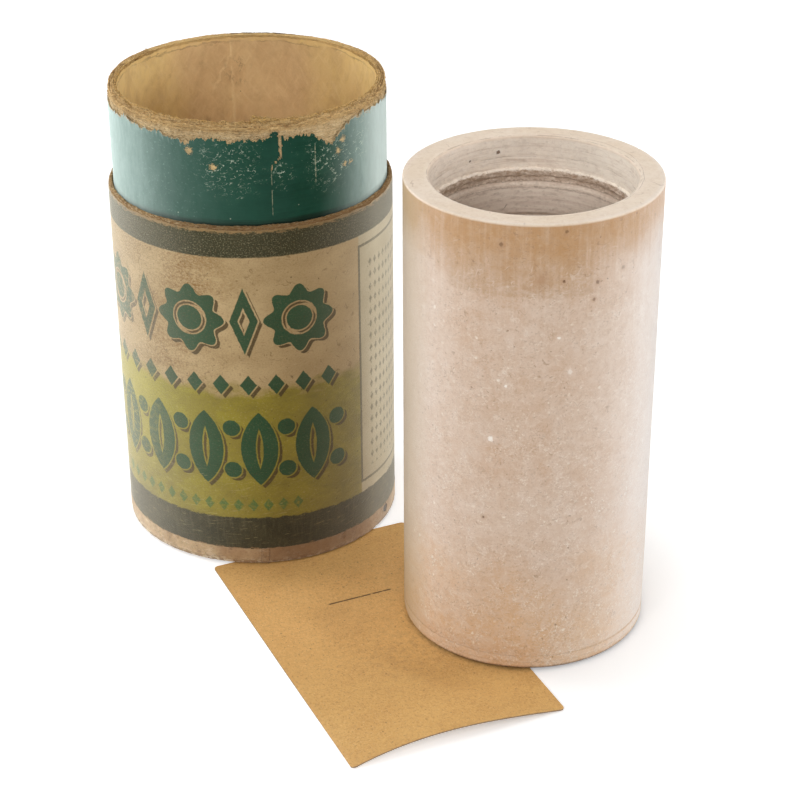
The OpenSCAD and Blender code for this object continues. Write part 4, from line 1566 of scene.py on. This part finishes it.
def slipSheet(s):
    bm = flatSheet(s["wide"], 0, s["long"], s["columns"], s["rows"])
    for vert in bm.verts:
        vert.co.x += s["wide"] / 2
    printUv(bm)
    for vert in bm.verts:
        u, v = vert.co.x, vert.co.y
        # corners worn round
        cu = min(max(u, s["corner"]), s["wide"] - s["corner"])
        cv = min(max(v, s["corner"]), s["long"] - s["corner"])
        reach = math.hypot(u - cu, v - cv)
        if reach > s["corner"]:
            u = cu + (u - cu) * s["corner"] / reach
            v = cv + (v - cv) * s["corner"] / reach
        up = slipLift(u, v) + s["thick"]
        vert.co = slipCorner + slipAcross * u * mm + slipAlong * v * mm + Vector((0, 0, up * mm))
    cutEdge = fuzzMaterial("cardEdge", 0.85, recordAxis, colour(166, 140, 108), colour(128, 104, 80), 0.04)
    piece = newPiece("titleSlip", bm, "slip", ["title_slip"], [cardMaterial(), cutEdge])
    if piece.data.polygons[0].normal.z < 0:
        piece.data.flip_normals()
    thicken(piece, s["thick"], 1)


slipSheet(titleSlip)
print("slip made")


# Floor, light and camera

floorDrop = 0.02  # mm, so that no face shares its plane


def seenRay():
    # 1 for what the eye, a gloss or a glass sees, 0 for light
    rays = node("LightPath").outputs
    return most(rays["Is Camera Ray"], rays["Is Glossy Ray"], rays["Is Transmission Ray"])


def makeFloor():
    bm = bmesh.new()
    bmesh.ops.create_grid(bm, x_segments=4, y_segments=4, size=2.5)
    mesh = bpy.data.meshes.new("floor")
    bm.to_mesh(mesh)
    bm.free()
    floor = bpy.data.objects.new("floor", mesh)
    floor.location.z = -floorDrop * mm
    bpy.context.scene.collection.objects.link(floor)
    material, shader = newMaterial("floorWhite", 1.0)
    tree.nodes.remove(shader)
    paint = node("BsdfDiffuse", Color=(0.86, 0.86, 0.86, 1))
    # whiter to the eye away from the record's foot
    x, y, _ = parts(placeOf(recordAxis))
    ring = ringOf(x, y)
    white = most(ramp(ring, 29, 60, 0.2, 0.45), ramp(ring, 300, 900))
    glow = node("Emission", Strength=times(seenRay(), white))
    both = node("AddShader")
    put(paint.outputs[0], both.inputs[0])
    put(glow.outputs[0], both.inputs[1])
    put(both.outputs[0], tree.nodes["Material Output"].inputs["Surface"])
    mesh.materials.append(material)


lamps = {
    "leftBox": {"at": (-0.6, 0.3, 0.2), "to": (-0.01, 0.02, 0.07), "size": (0.4, 0.38), "power": 3.4},
    "rightBox": {"at": (0.68, 0.1, 0.2), "to": (0.01, 0, 0.07), "size": (0.4, 0.38), "power": 3.0},
    "topBox": {"at": (0, 0.1, 0.85), "to": (0, 0, 0), "size": (0.8, 0.7), "power": 2.3},
    "frontBox": {"at": (-0.2, -0.7, 0.5), "to": (0, 0.02, 0.07), "size": (0.6, 0.45), "power": 3.6},
}


def makeLamp(name, s):
    light = bpy.data.lights.new(name, "AREA")
    light.shape = "RECTANGLE"
    light.size, light.size_y = s["size"]
    light.energy = s["power"]
    lamp = bpy.data.objects.new(name, light)
    lamp.location = s["at"]
    lamp.rotation_euler = (Vector(s["to"]) - Vector(s["at"])).to_track_quat("-Z", "Y").to_euler()
    bpy.context.scene.collection.objects.link(lamp)


makeFloor()
for name, lamp in lamps.items():
    makeLamp(name, lamp)

world = bpy.data.worlds.new("studio")
bpy.context.scene.world = world
world.use_nodes = True
tree = world.node_tree
sky = tree.nodes["Background"]
sky.inputs["Color"].default_value = (1, 1, 1, 1)
put(between(seenRay(), 0.17, 1.0), sky.inputs["Strength"])

photoCamera = {
    "lens": 94.33, "sensor": 36, "near": 0.01, "at": (0.0062, -0.42415, 0.27463),
    "down": math.radians(28.06), "bank": -0.0056,
}
cameraData = bpy.data.cameras.new("photoCamera")
cameraData.lens = photoCamera["lens"]
cameraData.sensor_width = photoCamera["sensor"]
cameraData.clip_start = photoCamera["near"]
camera = bpy.data.objects.new("photoCamera", cameraData)
tilt = Matrix.Rotation(math.pi / 2 - photoCamera["down"], 4, "X")
bank = Matrix.Rotation(photoCamera["bank"], 4, "Z")
camera.matrix_world = Matrix.Translation(photoCamera["at"]) @ tilt @ bank
bpy.context.scene.collection.objects.link(camera)
bpy.context.scene.camera = camera
bpy.context.scene.view_settings.view_transform = "Standard"
print("floor, light and camera made")
